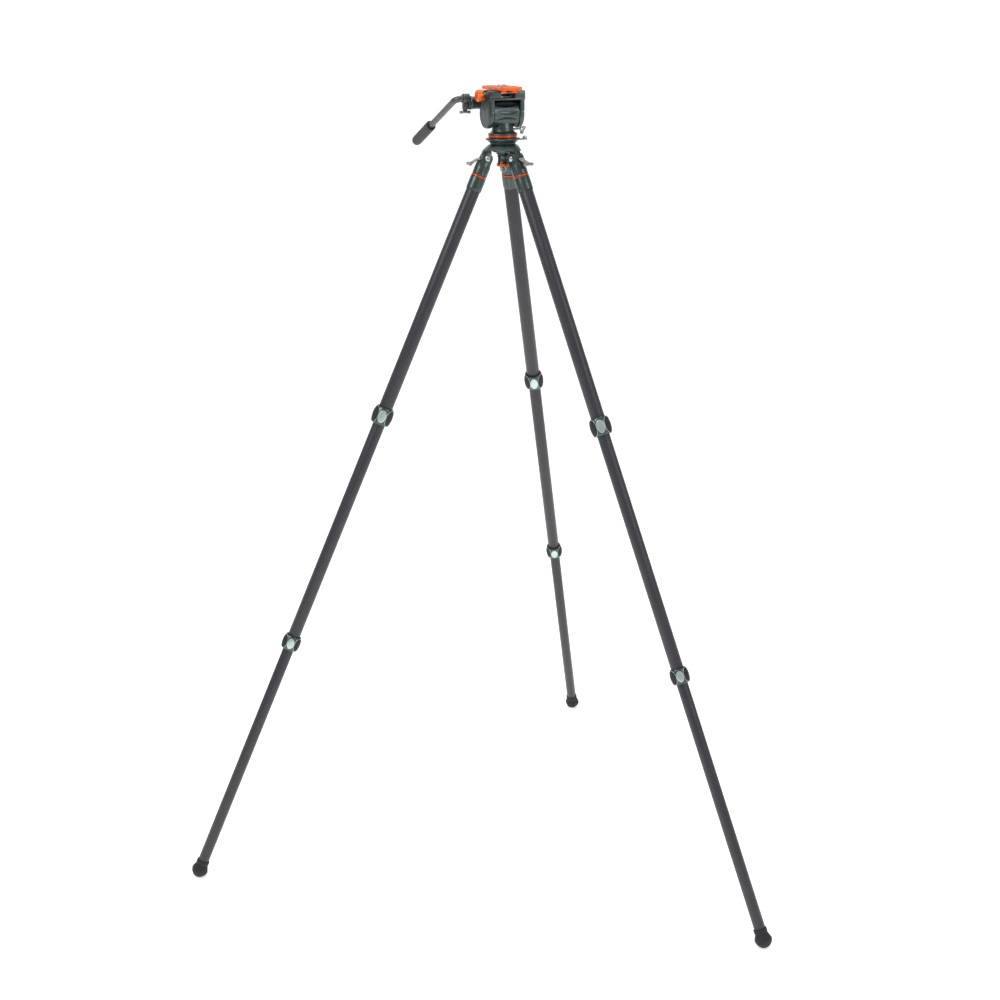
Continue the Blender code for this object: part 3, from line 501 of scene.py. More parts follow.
def leg_bolt(leg):
    """Pivot bolt: domed heads with a hexagon socket."""
    node = f"{leg}_pivot_bolt"
    low, high = extent(leg, node)
    matrix = leg_frame(leg)
    shank = move(
        turned(f"{node}_shank", [(0.003, high.y - 0.003), (0.003, low.y + 0.003)], steps=24, edge=0),
        ALONG_Y,
    )
    place(shank, matrix, "steel", f"{leg}_leg", node)
    for side, label in ((1, "a"), (-1, "b")):
        base = high.y - 0.0030
        head = turned(
            f"{node}_head_{label}",
            [
                (0.0002, high.y), (0.0040, high.y - 0.0001), (0.0054, high.y - 0.0014), (0.0055, base),
                (0.0002, base),
            ],
            steps=32, edge=0.0003,
        )
        socket = prism(
            "socket", [(x, y) for x, y in arc((0, 0), 0.0024, 0, 300, 5)], high.y - 0.0016, high.y + 0.01
        )
        cut(head, socket)
        move(head, Matrix.Rotation(-side * pi / 2, 4, "X"))
        place(head, matrix, "steel", f"{leg}_leg", node)


def stop_latch(leg):
    """Sprung tab with a wide thumb head, bent off the casting."""
    node = f"{leg}_stop_latch"
    root = leg_frame(leg).inverted() @ joint_point(f"{leg}_latch_swing")
    low, high = extent(leg, node)
    head_r = 0.0036
    head = Vector((high.x - head_r, 0.0, low.z + head_r))
    wide_head = high.y
    along = (head - root).normalized()
    across = Vector((along.z, 0.0, -along.x))
    rows = []
    stations = (
        (0.0, 0.0060, 0.0021), (0.18, 0.0064, 0.0022), (0.38, 0.0064, 0.0021), (0.60, 0.0066, 0.0021),
        (0.78, 0.0088, 0.0022), (0.90, wide_head - 0.0014, 0.0026), (1.0, wide_head - 0.0004, 0.0030),
    )
    for share, half_wide, half_thick in stations:
        middle = root.lerp(head, share)
        ring = []
        for i in range(28):
            angle = 2 * pi * i / 28
            wide = half_wide * soft(cos(angle), 0.35)
            thick = half_thick * soft(sin(angle), 0.6)
            ring.append(middle + Vector((0, wide, 0)) + across * thick)
        rows.append(ring)
    matrix = leg_frame(leg)
    lever = skin(f"{node}_lever", rows)
    place(lever, matrix, "warm_steel", f"{leg}_latch", node)
    bead = [(0.0022, wide_head), (0.0032, wide_head - 0.0008), (head_r, wide_head - 0.0024)]
    bead += [(head_r - 0.0005, wide_head * 0.45), (head_r - 0.0008, 0.0)]
    bead += [(radius, -height) for radius, height in reversed(bead[:-1])]
    cross = turned(f"{node}_head", bead, steps=32, edge=0.0004)
    move(cross, shift(head) @ ALONG_Y)
    place(cross, matrix, "warm_steel", f"{leg}_latch", node, sharp=50.0)
    pin = turned(f"{node}_pin", [(0.0026, 0.0074), (0.0026, -0.0074)], steps=28, edge=0.0004)
    move(pin, shift(root) @ ALONG_Y)
    place(pin, matrix, "steel", f"{leg}_latch", node)


FACET_TURN = 74.5
LOBE_HALF_ANGLE = radians(35.0)


def lock_radius(share, angle, end_r, full_r, flat_r):
    """Radius of a lock's metal sleeve at a share of its length and an angle round it."""
    swell = sin(pi * min(max(share, 0.0), 1.0)) ** 0.55
    radius = end_r + (full_r - 0.0012 - end_r) * swell
    nearest = (degrees(angle) - FACET_TURN + 60) % 120 - 60
    return min(radius, flat_r / max(cos(radians(nearest)), 0.2))


def lock_lobe(name, middle, half_tall, radius_at, full_r, centre_angle):
    """Bulging rubber pad with an oval outline, and the line of its edge."""
    rings = []
    edge = []
    steps = 56
    for size, lift in (
        (1.0, -0.20), (1.0, 0.12), (0.97, 0.42), (0.91, 0.66), (0.80, 0.82), (0.62, 0.92), (0.38, 0.98),
        (0.12, 1.0),
    ):
        ring = []
        for i in range(steps):
            around = 2 * pi * i / steps
            angle = centre_angle + LOBE_HALF_ANGLE * size * soft(cos(around), 0.85)
            z = middle + half_tall * size * soft(sin(around), 0.85)
            base = radius_at(z, angle)
            drop = 1 - 0.30 * ((z - middle) / half_tall) ** 2
            top = base + max(full_r * drop - base, 0.0010) if full_r * drop > base else base + 0.0010
            here = base + (min(top, full_r) - base) * lift
            ring.append((here * cos(angle), here * sin(angle), z))
            if size == 1.0 and lift > 0:
                line = base + 0.0002
                edge.append(Vector((line * cos(angle), line * sin(angle), z)))
        rings.append(ring)
    return skin(name, rings), edge


def twist_lock(leg, part, tube, thin):
    """Barrel collar: a metal sleeve with three oval facets and three rubber lobes; the facets and the lobe
    edges carry painted highlight, and a dark ring over the top face is painted shade.
    """
    node = f"{leg}_{part}"
    low, high = extent(leg, node)
    matrix = leg_frame(leg)
    body = f"{leg}_{part}"
    tube_r = extent(leg, f"{leg}_{tube}")[1].x
    thin_r = extent(leg, f"{leg}_{thin}")[1].x
    top, bottom = high.z, low.z
    length = top - bottom
    middle = (top + bottom) / 2
    end_r = tube_r + 0.0030
    full_r = max(high.y, -low.y)
    flat_r = full_r - 0.0030
    bore = tube_r + 0.0003
    lip = thin_r + 0.0004
    steps = 120
    rows = 20

    def radius_at(z, angle):
        return lock_radius((top - z) / length, angle, end_r, full_r, flat_r)

    heights = [top - length * row / rows for row in range(rows + 1)]
    rings = [ring_at(z, steps, lambda angle: radius_at(z, angle)) for z in heights]
    rings += [
        circle(lip, bottom, steps), circle(lip, bottom + 0.0024, steps),
        circle(bore, bottom + 0.0024, steps), circle(bore, top, steps),
    ]
    sleeve = skin(f"{node}_sleeve", rings, closed_loop=True)
    place(sleeve, matrix, "green_grey", body, node, sharp=40.0)
    half_tall = length * 0.375
    half_wide = full_r * 0.385
    for side in range(3):
        turn = radians(120 * side + FACET_TURN)
        rows_here = []
        for size, proud in (
            (1.0, -0.0008), (1.0, 0.0001), (0.97, 0.0004), (0.90, 0.0006), (0.62, 0.0009), (0.25, 0.0010)
        ):
            ring = []
            for i in range(48):
                around = 2 * pi * i / 48
                ring.append(
                    (
                        flat_r + proud, half_wide * size * cos(around),
                        middle + half_tall * size * sin(around),
                    )
                )
            rows_here.append(ring)
        # the oval facets and the thin bar along each lobe's edge are pale: painted highlight on the sleeve
        # metal
        oval = move(skin(f"{node}_facet_{side + 1}", rows_here), Matrix.Rotation(turn, 4, "Z"))
        place(oval, matrix, "highlight_painted_metal", body, node, sharp=60.0)
        lobe, edge = lock_lobe(
            f"{node}_lobe_{side + 1}", middle, length * 0.475, radius_at, full_r, turn + pi / 3
        )
        place(lobe, matrix, "rubber", body, node, sharp=60.0)
        rim = sweep(f"{node}_lobe_edge_highlight_{side + 1}", edge, 0.0004, 8, loop=True)
        place(rim, matrix, "highlight_painted_metal", body, node, sharp=70.0)
    # a thin black ring laid over the sleeve's top face round the tube: painted shade where the tube goes
    # into the lock
    painted_shade_ring = turned(
        f"{node}_seal",
        [
            (end_r - 0.0006, top + 0.0001), (end_r - 0.0002, top - 0.0004), (bore - 0.0001, top - 0.0004),
            (bore - 0.0001, top + 0.0001),
        ],
        closed=True, edge=0,
    )
    place(painted_shade_ring, matrix, "rubber", body, node)


def six_sided(radius, square, angle):
    """Radius at an angle of a section between a circle, square 0, and a soft hexagon, square 1."""
    nearest = (degrees(angle) + 30) % 60 - 30
    flat = cos(radians(30)) / cos(radians(nearest))
    return radius * min(1.0, 1.0 + (flat * 1.06 - 1.0) * square)


def foot(leg):
    """Rubber foot: a round collar with a groove, a six-sided flare and a round tip."""
    node = f"{leg}_foot"
    high = extent(leg, node)[1]
    matrix = leg_frame(leg)
    bore = extent(leg, f"{leg}_lower_tube")[1].x + 0.0002
    wide = high.y
    top = high.z
    stations = (
        (bore, -0.0200, 0.0), (bore, 0.0, 0.0), (0.0129, 0.0, 0.0), (0.0136, -0.0010, 0.0),
        (0.0138, -0.0030, 0.0), (0.0138, -0.0086, 0.0), (0.0134, -0.0094, 0.0), (0.0129, -0.0098, 0.0),
        (0.0129, -0.0118, 0.0), (0.0137, -0.0124, 0.0), (0.0148, -0.0145, 0.25), (0.0166, -0.0185, 0.7),
        (wide * 0.985, -0.0220, 1.0), (wide, -0.0240, 1.0), (wide * 0.985, -0.0262, 1.0),
        (0.0160, -0.0310, 0.8), (0.0128, -0.0350, 0.5), (0.0095, -0.0380, 0.2), (0.0060, -0.0396, 0.0),
        (0.0020, -0.0400, 0.0),
    )
    rings = []
    for radius, drop, square in stations:
        rings.append(ring_at(top + drop, 72, lambda angle: six_sided(radius, square, angle)))
    piece = skin(f"{node}_tread", rings)
    floor_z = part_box(node)[0].z
    ground = box_piece("ground", (-0.2, -0.2, -0.1), (0.2, 0.2, 0.0), 0.0)
    under = matrix @ Vector((0, 0, top))
    move(ground, matrix.inverted() @ shift((under.x, under.y, floor_z)))
    cut(piece, ground)
    place(piece, matrix, "rubber", f"{leg}_lower", node, sharp=32.0)


def build_legs():
    for leg in LEGS:
        leg_casting(leg)
        leg_bolt(leg)
        stop_latch(leg)
        leg_tube(leg, "upper_tube", "leg")
        leg_tube(leg, "middle_tube", "middle")
        leg_tube(leg, "lower_tube", "lower")
        twist_lock(leg, "upper_lock", "upper_tube", "middle_tube")
        twist_lock(leg, "lower_lock", "middle_tube", "lower_tube")
        foot(leg)


# ---------------------------------------------------------------- spider and levelling base

def sphere_profile(radius, centre, high, low, count):
    first = asin((high - centre) / radius)
    last = asin((low - centre) / radius)
    points = []
    for step in range(count + 1):
        angle = first + (last - first) * step / count
        points.append((radius * cos(angle), centre + radius * sin(angle)))
    return points


def spider_casting():
    """Star casting: bowl, three sloping arms with round shoulders, a hinge tongue under each."""
    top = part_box("spider")[1].z
    ball_z = joint_point("level_roll").z
    hip = joint_point("left_leg_swing")
    hip_r = hypot(hip.x, hip.y)
    bottom = top - 0.0112
    reach = hip_r + 0.0070
    points = []
    azimuths = sorted(atan2(*reversed(joint_point(f"{leg}_leg_swing").xy)) % (2 * pi) for leg in LEGS)
    for azimuth in azimuths:
        turn = Matrix.Rotation(azimuth, 2)
        for corner in (
            (0.0245, -0.0218), (0.0285, -0.0180), (0.0350, -0.0148), (reach - 0.0020, -0.0130),
            (reach, -0.0108), (reach, 0.0108), (reach - 0.0020, 0.0130), (0.0350, 0.0148), (0.0285, 0.0180),
            (0.0245, 0.0218),
        ):
            points.append(tuple(turn @ Vector(corner)))
    body = prism("spider_casting", points, bottom, top, 0.0012, 3)
    slope = turned("slope", [(0.0290, top + 0.0001), (0.0290 + 0.0135, bottom - 0.0001)], steps=96, edge=0)
    body = boolean(body, slope, "INTERSECT")
    cup_low = -0.1295
    boss_r = 0.0135
    boss = turned(
        "boss",
        [
            (0.0225, bottom + 0.003), (0.0222, bottom - 0.0006), (0.0205, cup_low),
            (boss_r, cup_low - 0.0015), (boss_r, ball_z - 0.0296),
        ],
        steps=72, edge=0.0009,
    )
    tongues = []
    for azimuth in azimuths:
        outline = [(hip_r - 0.010, bottom + 0.002)] + arc((hip_r, hip.z), 0.010, 180, 360, 24) + [
            (hip_r + 0.010, hip.z + 0.006), (reach - 0.002, bottom + 0.002)
        ]
        tongue = move(prism("tongue", outline, -0.0070, 0.0070, 0.0006), LAID_Y)
        hole = drill(HINGE_HOLE_R, 0.02, -0.02, 24, ALONG_Y)
        cut(tongue, move(hole, shift((hip_r, 0, hip.z))))
        tongues.append(move(tongue, Matrix.Rotation(azimuth, 4, "Z")))
    seat = sphere_profile(0.0287, ball_z, top + 0.002, -0.1273, 12)
    bowl = turned("bowl", seat, steps=96, edge=0)
    hole = drill(0.0086, -0.11, -0.16, 48)
    body = cut(fuse(body, boss, *tongues), bowl, hole)
    place(body, HERE, "green_grey", "spider", "spider", sharp=30.0)


def level_base_pieces():
    """Half ball with its flange, the bubble level on the flange's ear and the orange base ring."""
    low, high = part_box("level_flange")
    ball_z = joint_point("level_roll").z
    top = high.z
    flange_r = 0.035
    stud_r = 0.004
    zone = sphere_profile(0.0272, ball_z, -0.1110, -0.1240, 14)
    profile = beside(flange_r, top, (-0.0008, 0), (0, -0.0008), (0, -0.0028)) + [
        (flange_r - 0.0014, top - 0.0042), (0.0312, top - 0.0052), (0.0290, top - 0.0080)
    ] + zone + [(stud_r, -0.1240), (stud_r, low.z)]
    flange = turned("level_flange_skin", profile, steps=96, edge=0.0003)
    place(flange, HERE, "green_grey", "level_base", "level_flange", sharp=50.0)
    vial_low, vial_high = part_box("bubble_level")
    middle = (vial_low + vial_high) / 2
    reach = hypot(middle.x, middle.y)
    azimuth = atan2(middle.y, middle.x)
    spin = Matrix.Rotation(azimuth, 4, "Z")
    outline = [(0.030, -0.0055)] + arc((0.0447, 0.0), 0.0053, -90, 90, 20) + [(0.030, 0.0055)]
    ear = prism("flange_ear", outline, top - 0.0042, top - 0.0016, 0.0006, 3)
    place(ear, spin, "warm_steel", "level_base", "level_flange")
    vial_r = 0.0046
    cup = turned(
        "bubble_cup",
        beside(vial_r, middle.z, (-0.0014, 0.0020), (-0.0002, 0.0012)) + [
            (vial_r, vial_low.z), (0.0028, vial_low.z), (0.0028, middle.z + 0.0004)
        ],
        closed=True, steps=48,
    )
    standing = spin @ shift((reach, 0, 0))
    place(cup, standing, "steel", "level_base", "bubble_level")
    window = turned(
        "bubble_window",
        [
            (0.0006, vial_high.z), (0.0022, vial_high.z - 0.0004), (0.0031, middle.z + 0.0014),
            (0.0028, vial_low.z + 0.0002),
        ],
        steps=40, edge=0,
    )
    place(window, standing, "vial", "level_base", "bubble_level", sharp=60.0)
    ring_low, ring_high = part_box("base_ring")
    ring_r = ring_high.x
    ring = turned(
        "base_ring_fine",
        [(ring_r - 0.0006, ring_high.z), (ring_r, ring_high.z - 0.0008)] + beside(
            ring_r, ring_low.z, (0, 0.0022), (-0.0012, 0.0018), (-0.0012, 0.0012), (-0.0003, 0.0010),
            (-0.0014, 0),
        ) + [(0.0083, ring_low.z), (0.0083, ring_high.z)],
        closed=True, steps=96, edge=0.0002,
    )
    place(ring, HERE, "orange", "level_base", "base_ring")


def handle_below():
    """Levelling handle with its fluted waist, the orange ring and the wire hook."""
    low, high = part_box("level_handle")
    ball_z = joint_point("level_roll").z
    ring_low, ring_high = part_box("handle_ring")
    full = high.x
    rim = ball_z - sqrt(0.0330**2 - full**2)
    dish = ball_z - sqrt(0.0330**2 - 0.0043**2)
    stations = [
        (0.0043, dish - 0.012), (0.0043, dish), (full - 0.0004, rim + 0.0001), (full, rim - 0.0006),
        (full, -0.1393), (full - 0.0006, -0.1405),
    ]
    waist = [(full - 0.0008, -0.1412 - 0.0009 * i) for i in range(9)]
    stations += waist + beside(full, ring_high.z, (-0.0006, 0.0020), (0, 0.0012), (0, 0.0003))
    stations += [
        (0.0092, ring_high.z + 0.0003), (0.0092, ring_low.z - 0.0003), (0.0074, ring_low.z - 0.0015)
    ]
    stations += [(0.0004, ring_low.z - 0.0015)]
    rings = []
    for radius, height in stations:
        depth = 0.0005 if -0.1480 < height < -0.1414 and radius > 0.0095 else 0.0
        rings.append(ring_at(height, 120, lambda angle: radius - scallop(depth, 24, angle)))
    grip = skin("level_handle_grip", rings)
    place(grip, HERE, "green_grey", "level_handle", "level_handle", sharp=45.0)
    post = box_piece(
        "level_handle_post", (-0.0016, -0.0032, low.z), (0.0016, 0.0032, ring_low.z - 0.0010), 0.0005
    )
    hook_z = joint_point("hook_swing").z
    hole = drill(0.0014, 0.01, -0.01, 20, shift((0, 0, hook_z)) @ ALONG_X)
    cut(post, hole)
    place(post, HERE, "green_grey", "level_handle", "level_handle")
    outer = ring_high.x
    ring = turned(
        "handle_ring_fine",
        beside(
            outer, ring_high.z, (-0.0008, 0), (0, -0.0009), (-0.0001, -0.0024), (-0.0005, -0.0030),
            (-0.0002, -0.0036),
        ) + beside(outer, ring_low.z, (-0.0005, 0.0010), (-0.0015, 0)) + [(0.0095, ring_low.z), (
            0.0095, ring_high.z
        )],
        closed=True, steps=96, edge=0.0003,
    )
    place(ring, HERE, "orange", "level_handle", "handle_ring")
    hook_low, hook_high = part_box("hook_ring")
    wire_r = 0.0010
    half = hook_high.x - wire_r
    drop = hook_high.z - wire_r - (hook_low.z + wire_r)
    path = []
    for i in range(64):
        angle = 2 * pi * i / 64
        x = half * soft(cos(angle), 0.75)
        lift = sin(angle)
        z = (hook_high.z - wire_r) - drop * (0.5 - 0.5 * soft(lift, 0.45 if lift > 0 else 0.95))
        path.append(Vector((x, 0.0, z)))
    place(sweep("hook_wire", path, wire_r, 16, loop=True), HERE, "steel", "hook", "hook_ring", sharp=60.0)


def sweep(name, path, radius, steps, loop=False):
    """A round bar along a line of points; radius is a number or one number for each point."""
    rings = []
    count = len(path)
    side = None
    for i, point in enumerate(path):
        before = path[i - 1] if i or loop else point
        after = path[(i + 1) % count] if i < count - 1 or loop else point
        along = (after - before).normalized()
        if side is None:
            side = along.orthogonal().normalized()
        side = (side - along * side.dot(along)).normalized()
        other = along.cross(side)
        size = radius[i] if isinstance(radius, (list, tuple)) else radius
        ring = []
        for k in range(steps):
            angle = 2 * pi * k / steps
            ring.append(point + (side * cos(angle) + other * sin(angle)) * size)
        rings.append(ring)
    return skin(name, rings, closed_loop=loop)


# ---------------------------------------------------------------- fluid head


def pan_pieces():
    low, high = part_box("pan_base")
    base_r = high.x
    tilt_z = joint_point("tilt").z
    drum_r = size_of("drum_body").z / 2
    body = turned(
        "pan_base_housing",
        [
            (0.0195, -0.0680), (0.0206, -0.0760), (0.0215, -0.0800), (0.0222, -0.0860), (0.0236, -0.0888),
            (0.0262, -0.0908), (base_r - 0.001, -0.0918), (base_r, -0.0926), (base_r, -0.0950),
            (0.0080, -0.0950), (0.0080, low.z),
        ],
        steps=96, edge=0.0004,
    )
    groove = turned(
        "groove", [(0.0215, -0.0822), (0.0260, -0.0820), (0.0260, -0.0828), (0.0215, -0.0828)], closed=True,
        steps=96, edge=0,
    )
    drum = move(
        turned("drum", [(drum_r + 0.0003, 0.05), (drum_r + 0.0003, -0.05)], steps=128, edge=0), ALONG_X
    )
    move(drum, shift((0, 0, tilt_z)))
    lock_z = joint_point("pan_lock_turn").z
    hole = drill(M5_HOLE_R, 0.05, 0.014, 24, shift((0, 0, lock_z)) @ ALONG_X)
    cut(body, groove, drum, hole)
    place(body, HERE, "green_grey", "pan_head", "pan_base")
    wing_low, wing_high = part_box("pan_lock")
    shaft = turned(
        "pan_lock_screw",
        [(0.0024, 0.0145), (0.0025, 0.0374), (0.0042, 0.0376), (0.0042, 0.0415), (0.0034, 0.0422)],
        steps=36, edge=0.0003,
    )
    move(shaft, shift((0, 0, lock_z)) @ ALONG_X)
    place(shaft, HERE, "steel", "pan_lock", "pan_lock")
    tip = wing_high.x
    outline = beside(tip, lock_z, (-0.0120, -0.0040), (-0.0112, -0.0090))
    outline += beside(tip, wing_low.z, (-0.0092, 0.0004), (-0.0076, 0), (-0.0060, 0.0008))
    outline += beside(tip, lock_z, (-0.0050, -0.0060), (-0.0044, -0.0034), (-0.0018, -0.0004))
    outline += beside(tip, lock_z, (-0.0002, 0.0022), (0, 0.0040), (-0.0010, 0.0058))
    outline += [(tip - 0.0040, wing_high.z - 0.0001)]
    outline += beside(tip, lock_z, (-0.0062, 0.0054), (-0.0085, 0.0042), (-0.0110, 0.0050))
    outline += [(tip - 0.0123, lock_z + 0.0030)]
    wing = move(prism("pan_lock_wing", outline, -0.0032, 0.0032, 0.0012, 3), LAID_Y)
    place(wing, HERE, "warm_steel", "pan_lock", "pan_lock")


SHAFT_BORE_R = 0.0063
FLUTES = 10
FIRST_FLUTE = radians(8.0)
FLUTE_DEPTH = 0.0030


def flute_depth(lens, angle):
    """Depth of the drum's flutes at an angle; lens is 1 at mid-length and 0 at the rims."""
    lift = atan2(-cos(angle), -sin(angle))
    phase = ((lift - FIRST_FLUTE) * FLUTES / (2 * pi) + 0.5) % 1.0 - 0.5
    open_half = 0.44 * lens**0.75 + 1e-6
    if abs(phase) >= open_half:
        return 0.0
    return FLUTE_DEPTH * lens * cos(pi / 2 * phase / open_half) ** 1.2


def drum_pieces():
    """Damper housing with long lens-shaped flutes between flat end rims."""
    low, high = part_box("drum_body")
    tilt_z = joint_point("tilt").z
    radius = (high.z - low.z) / 2
    half = high.x
    steps = 240
    columns = 48
    rings = [circle(SHAFT_BORE_R, -half, steps), circle(radius - 0.0012, -half, steps)]
    for column in range(columns + 1):
        x = -half + 0.0010 + (2 * half - 0.0020) * column / columns
        lens = max(0.0, 1 - (x / (half - 0.0035)) ** 2)
        rings.append(ring_at(x, steps, lambda angle: radius - flute_depth(lens, angle)))
    rings += [circle(radius - 0.0012, half, steps), circle(SHAFT_BORE_R, half, steps)]
    drum = move(skin("drum_housing", rings, closed_loop=True), ALONG_X)
    place(drum, shift((0, 0, tilt_z)), "green_grey", "pan_head", "drum_body", sharp=34.0)
    shaft_low, shaft_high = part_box("tilt_shaft")
    shaft_r = (shaft_high.z - shaft_low.z) / 2
    shaft = turned("tilt_shaft_bar", [(shaft_r, shaft_high.x), (shaft_r, shaft_low.x)], edge=0)
    place(move(shaft, ALONG_X), shift((0, 0, tilt_z)), "steel", "tilt_head", "tilt_shaft")


def arm_outline(tilt_z, radius, half_wide, top):
    side = degrees(asin(0.0065 / radius))
    outline = [(-half_wide, top), (-half_wide, tilt_z + 0.0065)] + arc(
        (0.0, tilt_z), radius, 180 - side, 360 + side, 64
    ) + [(half_wide, tilt_z + 0.0065), (half_wide, top)]
    return outline


PLATE_SLAB = 0.0075
RAIL_NECK = 0.0150
RAIL_TAIL = 0.0180
CHANNEL_HALF = 0.0145


def dovetail_outline(low, grow):
    neck, tail = RAIL_NECK + grow, RAIL_TAIL + grow
    neck_low = low + 0.0038
    tail_top = neck_low - (RAIL_TAIL - RAIL_NECK) + grow * 0.4
    right = [(neck, -PLATE_SLAB + 0.001), (neck, neck_low), (tail, tail_top), (tail, low - grow)]
    return right + [(-x, z) for x, z in reversed(right)]


def yoke_pieces():
    """Platform, its fixed jaw with bright edges, and the two arms that hold the drum."""
    low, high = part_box("tilt_yoke")
    tilt_z = joint_point("tilt").z
    out = high.x
    inner = size_of("drum_body").x / 2 + 0.0004
    front, rear = low.y, high.y
    deck_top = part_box("clamp_jaw")[0].z - 0.0003
    deck_low = deck_top - 0.0037
    rail_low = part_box("quick_plate")[0].z
    deck = box_piece("yoke_deck", (-out, front, deck_low), (out, rear, deck_top), 0.0010)
    jaw = box_piece(
        "jaw_block", (CHANNEL_HALF, front, deck_top - 0.001), (out, rear - 0.012, high.z), 0.0016
    )
    slot = move(prism("slot", dovetail_outline(rail_low, CLAMP_GAP), -0.08, 0.08), LAID_Y)
    cut(jaw, slot)
    notch = box_piece(
        "notch", (out - 0.0040, front + 0.0120, high.z - 0.0035),
        (out + 0.01, rear - 0.0240, high.z + 0.01), 0.0012,
    )
    cut(jaw, notch)
    bracket = box_piece("bracket", (-out, 0.024, -0.046), (-0.0275, rear, deck_top - 0.001), 0.0014)
    arms = []
    for x_low, x_high in ((-out, -inner), (inner, out)):
        outline = arm_outline(tilt_z, 0.029, 0.030, deck_low + 0.001)
        arms.append(move(prism("arm", outline, x_low, x_high, 0.0014, 3), LAID_X))
    bore = drill(SHAFT_BORE_R, 0.05, -0.05, 48, shift((0, 0, tilt_z)) @ ALONG_X)
    screw_z = joint_point("knob_turn").z
    hole = drill(M5_HOLE_R, 0.0286, 0.0, 24, shift((0, 0, screw_z)) @ ALONG_X)
    body = cut(fuse(deck, jaw, bracket, *arms), bore, hole)
    body.name = "yoke_casting"
    place(body, HERE, "green_grey", "tilt_head", "tilt_yoke", sharp=30.0)


def cap_pieces():
    """Side cap: a satin face set in a darker rim, with a plain ring groove."""
    low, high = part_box("tilt_cap")
    tilt_z = joint_point("tilt").z
    radius = (high.z - low.z) / 2
    thick = high.x - low.x
    stand = shift((high.x, 0, tilt_z)) @ Matrix.Rotation(-pi / 2, 4, "Y")
    rim = turned(
        "tilt_cap_rim",
        [
            (radius, 0.0), (radius, thick * 0.45), (radius - 0.0016, thick * 0.85),
            (radius - 0.0034, thick), (radius - 0.0052, thick * 0.72), (radius - 0.0052, 0.0),
        ],
        closed=True, steps=96, edge=0.0004,
    )
    place(rim, stand, "green_grey", "tilt_head", "tilt_cap")
    face = turned(
        "tilt_cap_face",
        [
            (radius - 0.0054, 0.0001), (radius - 0.0054, thick * 0.62), (radius - 0.0060, thick * 0.78),
            (radius - 0.0150, thick * 0.80), (radius - 0.0153, thick * 0.62),
            (radius - 0.0166, thick * 0.62), (radius - 0.0169, thick * 0.80), (0.0008, thick * 0.82),
        ],
        steps=96, edge=0.0001,
    )
    place(face, stand, "cap_metal", "tilt_head", "tilt_cap")
    low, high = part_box("tilt_lock")
    near = low.x
    far = high.x
    hub = turned(
        "tilt_lock_hub",
        [
            (0.010, near), (0.010, far - 0.0015), (0.0088, far), (0.0052, far), (0.0048, far - 0.0006),
            (0.0004, far - 0.0006),
        ],
        steps=64, edge=0.0004,
    )
    place(move(hub, ALONG_X), shift((0, 0, tilt_z)), "dark_metal", "tilt_lock", "tilt_lock")
    tip = high.y
    outline = [
        (0.0040, 0.0052), (0.0140, 0.0040), (tip - 0.0018, 0.0035), (tip - 0.0004, 0.0022), (tip, 0.0),
        (tip - 0.0004, -0.0022), (tip - 0.0018, -0.0035), (0.0140, -0.0046), (0.0040, -0.0060),
    ]
    lever = move(prism("tilt_lock_lever", outline, near + 0.0015, far - 0.0004, 0.0012, 3), LAID_X)
    place(lever, shift((0, 0, tilt_z)), "dark_metal", "tilt_lock", "tilt_lock")


KNOB_PROFILE = (
    (0.0, 0.60), (0.03, 0.68), (0.20, 0.985), (0.25, 1.0), (0.50, 1.0), (0.75, 1.0), (0.82, 0.985),
    (0.94, 0.86), (0.985, 0.76), (1.0, 0.66),
)


def knob_radius(full, size, angle):
    """Radius of the knob's section at an angle; size is its share of the full radius."""
    return full * size - 0.0016 * scallop(1.0, 8, angle) ** 1.5 * max(0.0, size - 0.6) / 0.4


def clamp_pieces():
    """Moving jaw of the clamp, and the lobed knob with the screw that draws it."""
    low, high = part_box("clamp_jaw")
    rail_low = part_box("quick_plate")[0].z
    jaw = box_piece("clamp_jaw_block", low, high, 0.0016)
    slot = move(prism("slot", dovetail_outline(rail_low, CLAMP_GAP), -0.08, 0.08), LAID_Y)
    notch = box_piece(
        "notch", (low.x - 0.01, low.y + 0.0120, high.z - 0.0035),
        (low.x + 0.0040, high.y - 0.0120, high.z + 0.01), 0.0012,
    )
    screw_z = joint_point("knob_turn").z
    hole = drill(M5_HOLE_R, 0.0, -0.05, 24, shift((0, 0, screw_z)) @ ALONG_X)
    cut(jaw, slot, notch, hole)
    place(jaw, HERE, "green_grey", "jaw", "clamp_jaw", sharp=30.0)
    knob_low, knob_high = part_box("clamp_knob")
    radius = knob_high.z - screw_z
    length = 0.0155
    steps = 160
    rings = []
    for share, size in KNOB_PROFILE:
        rings.append(ring_at(length * share, steps, lambda angle: knob_radius(radius, size, angle)))
    dimple = [(0.52, 1.0), (0.50, 0.96), (0.16, 0.95)]
    rings += [circle(radius * size, length * share, steps) for size, share in dimple]
    knob = move(skin("clamp_knob_grip", rings), ALONG_X)
    stand = shift((knob_low.x, 0, screw_z))
    knob.data.transform(shift((length, 0, 0)) @ Matrix.Rotation(pi, 4, "Z"))
    # the knob takes the brighter copy of the orange: painted light
    place(knob, stand, "orange_painted_lit", "knob", "clamp_knob", sharp=45.0)
    end = knob_high.x
    screw = turned(
        "clamp_knob_screw",
        [
            (0.0042, knob_low.x + 0.012), (0.0042, low.x - 0.0012), (0.0025, low.x - 0.0010),
            (0.0025, end - 0.0004), (0.0021, end),
        ],
        steps=32, edge=0.0002,
    )
    place(move(screw, ALONG_X), shift((0, 0, screw_z)), "steel", "knob", "clamp_knob")


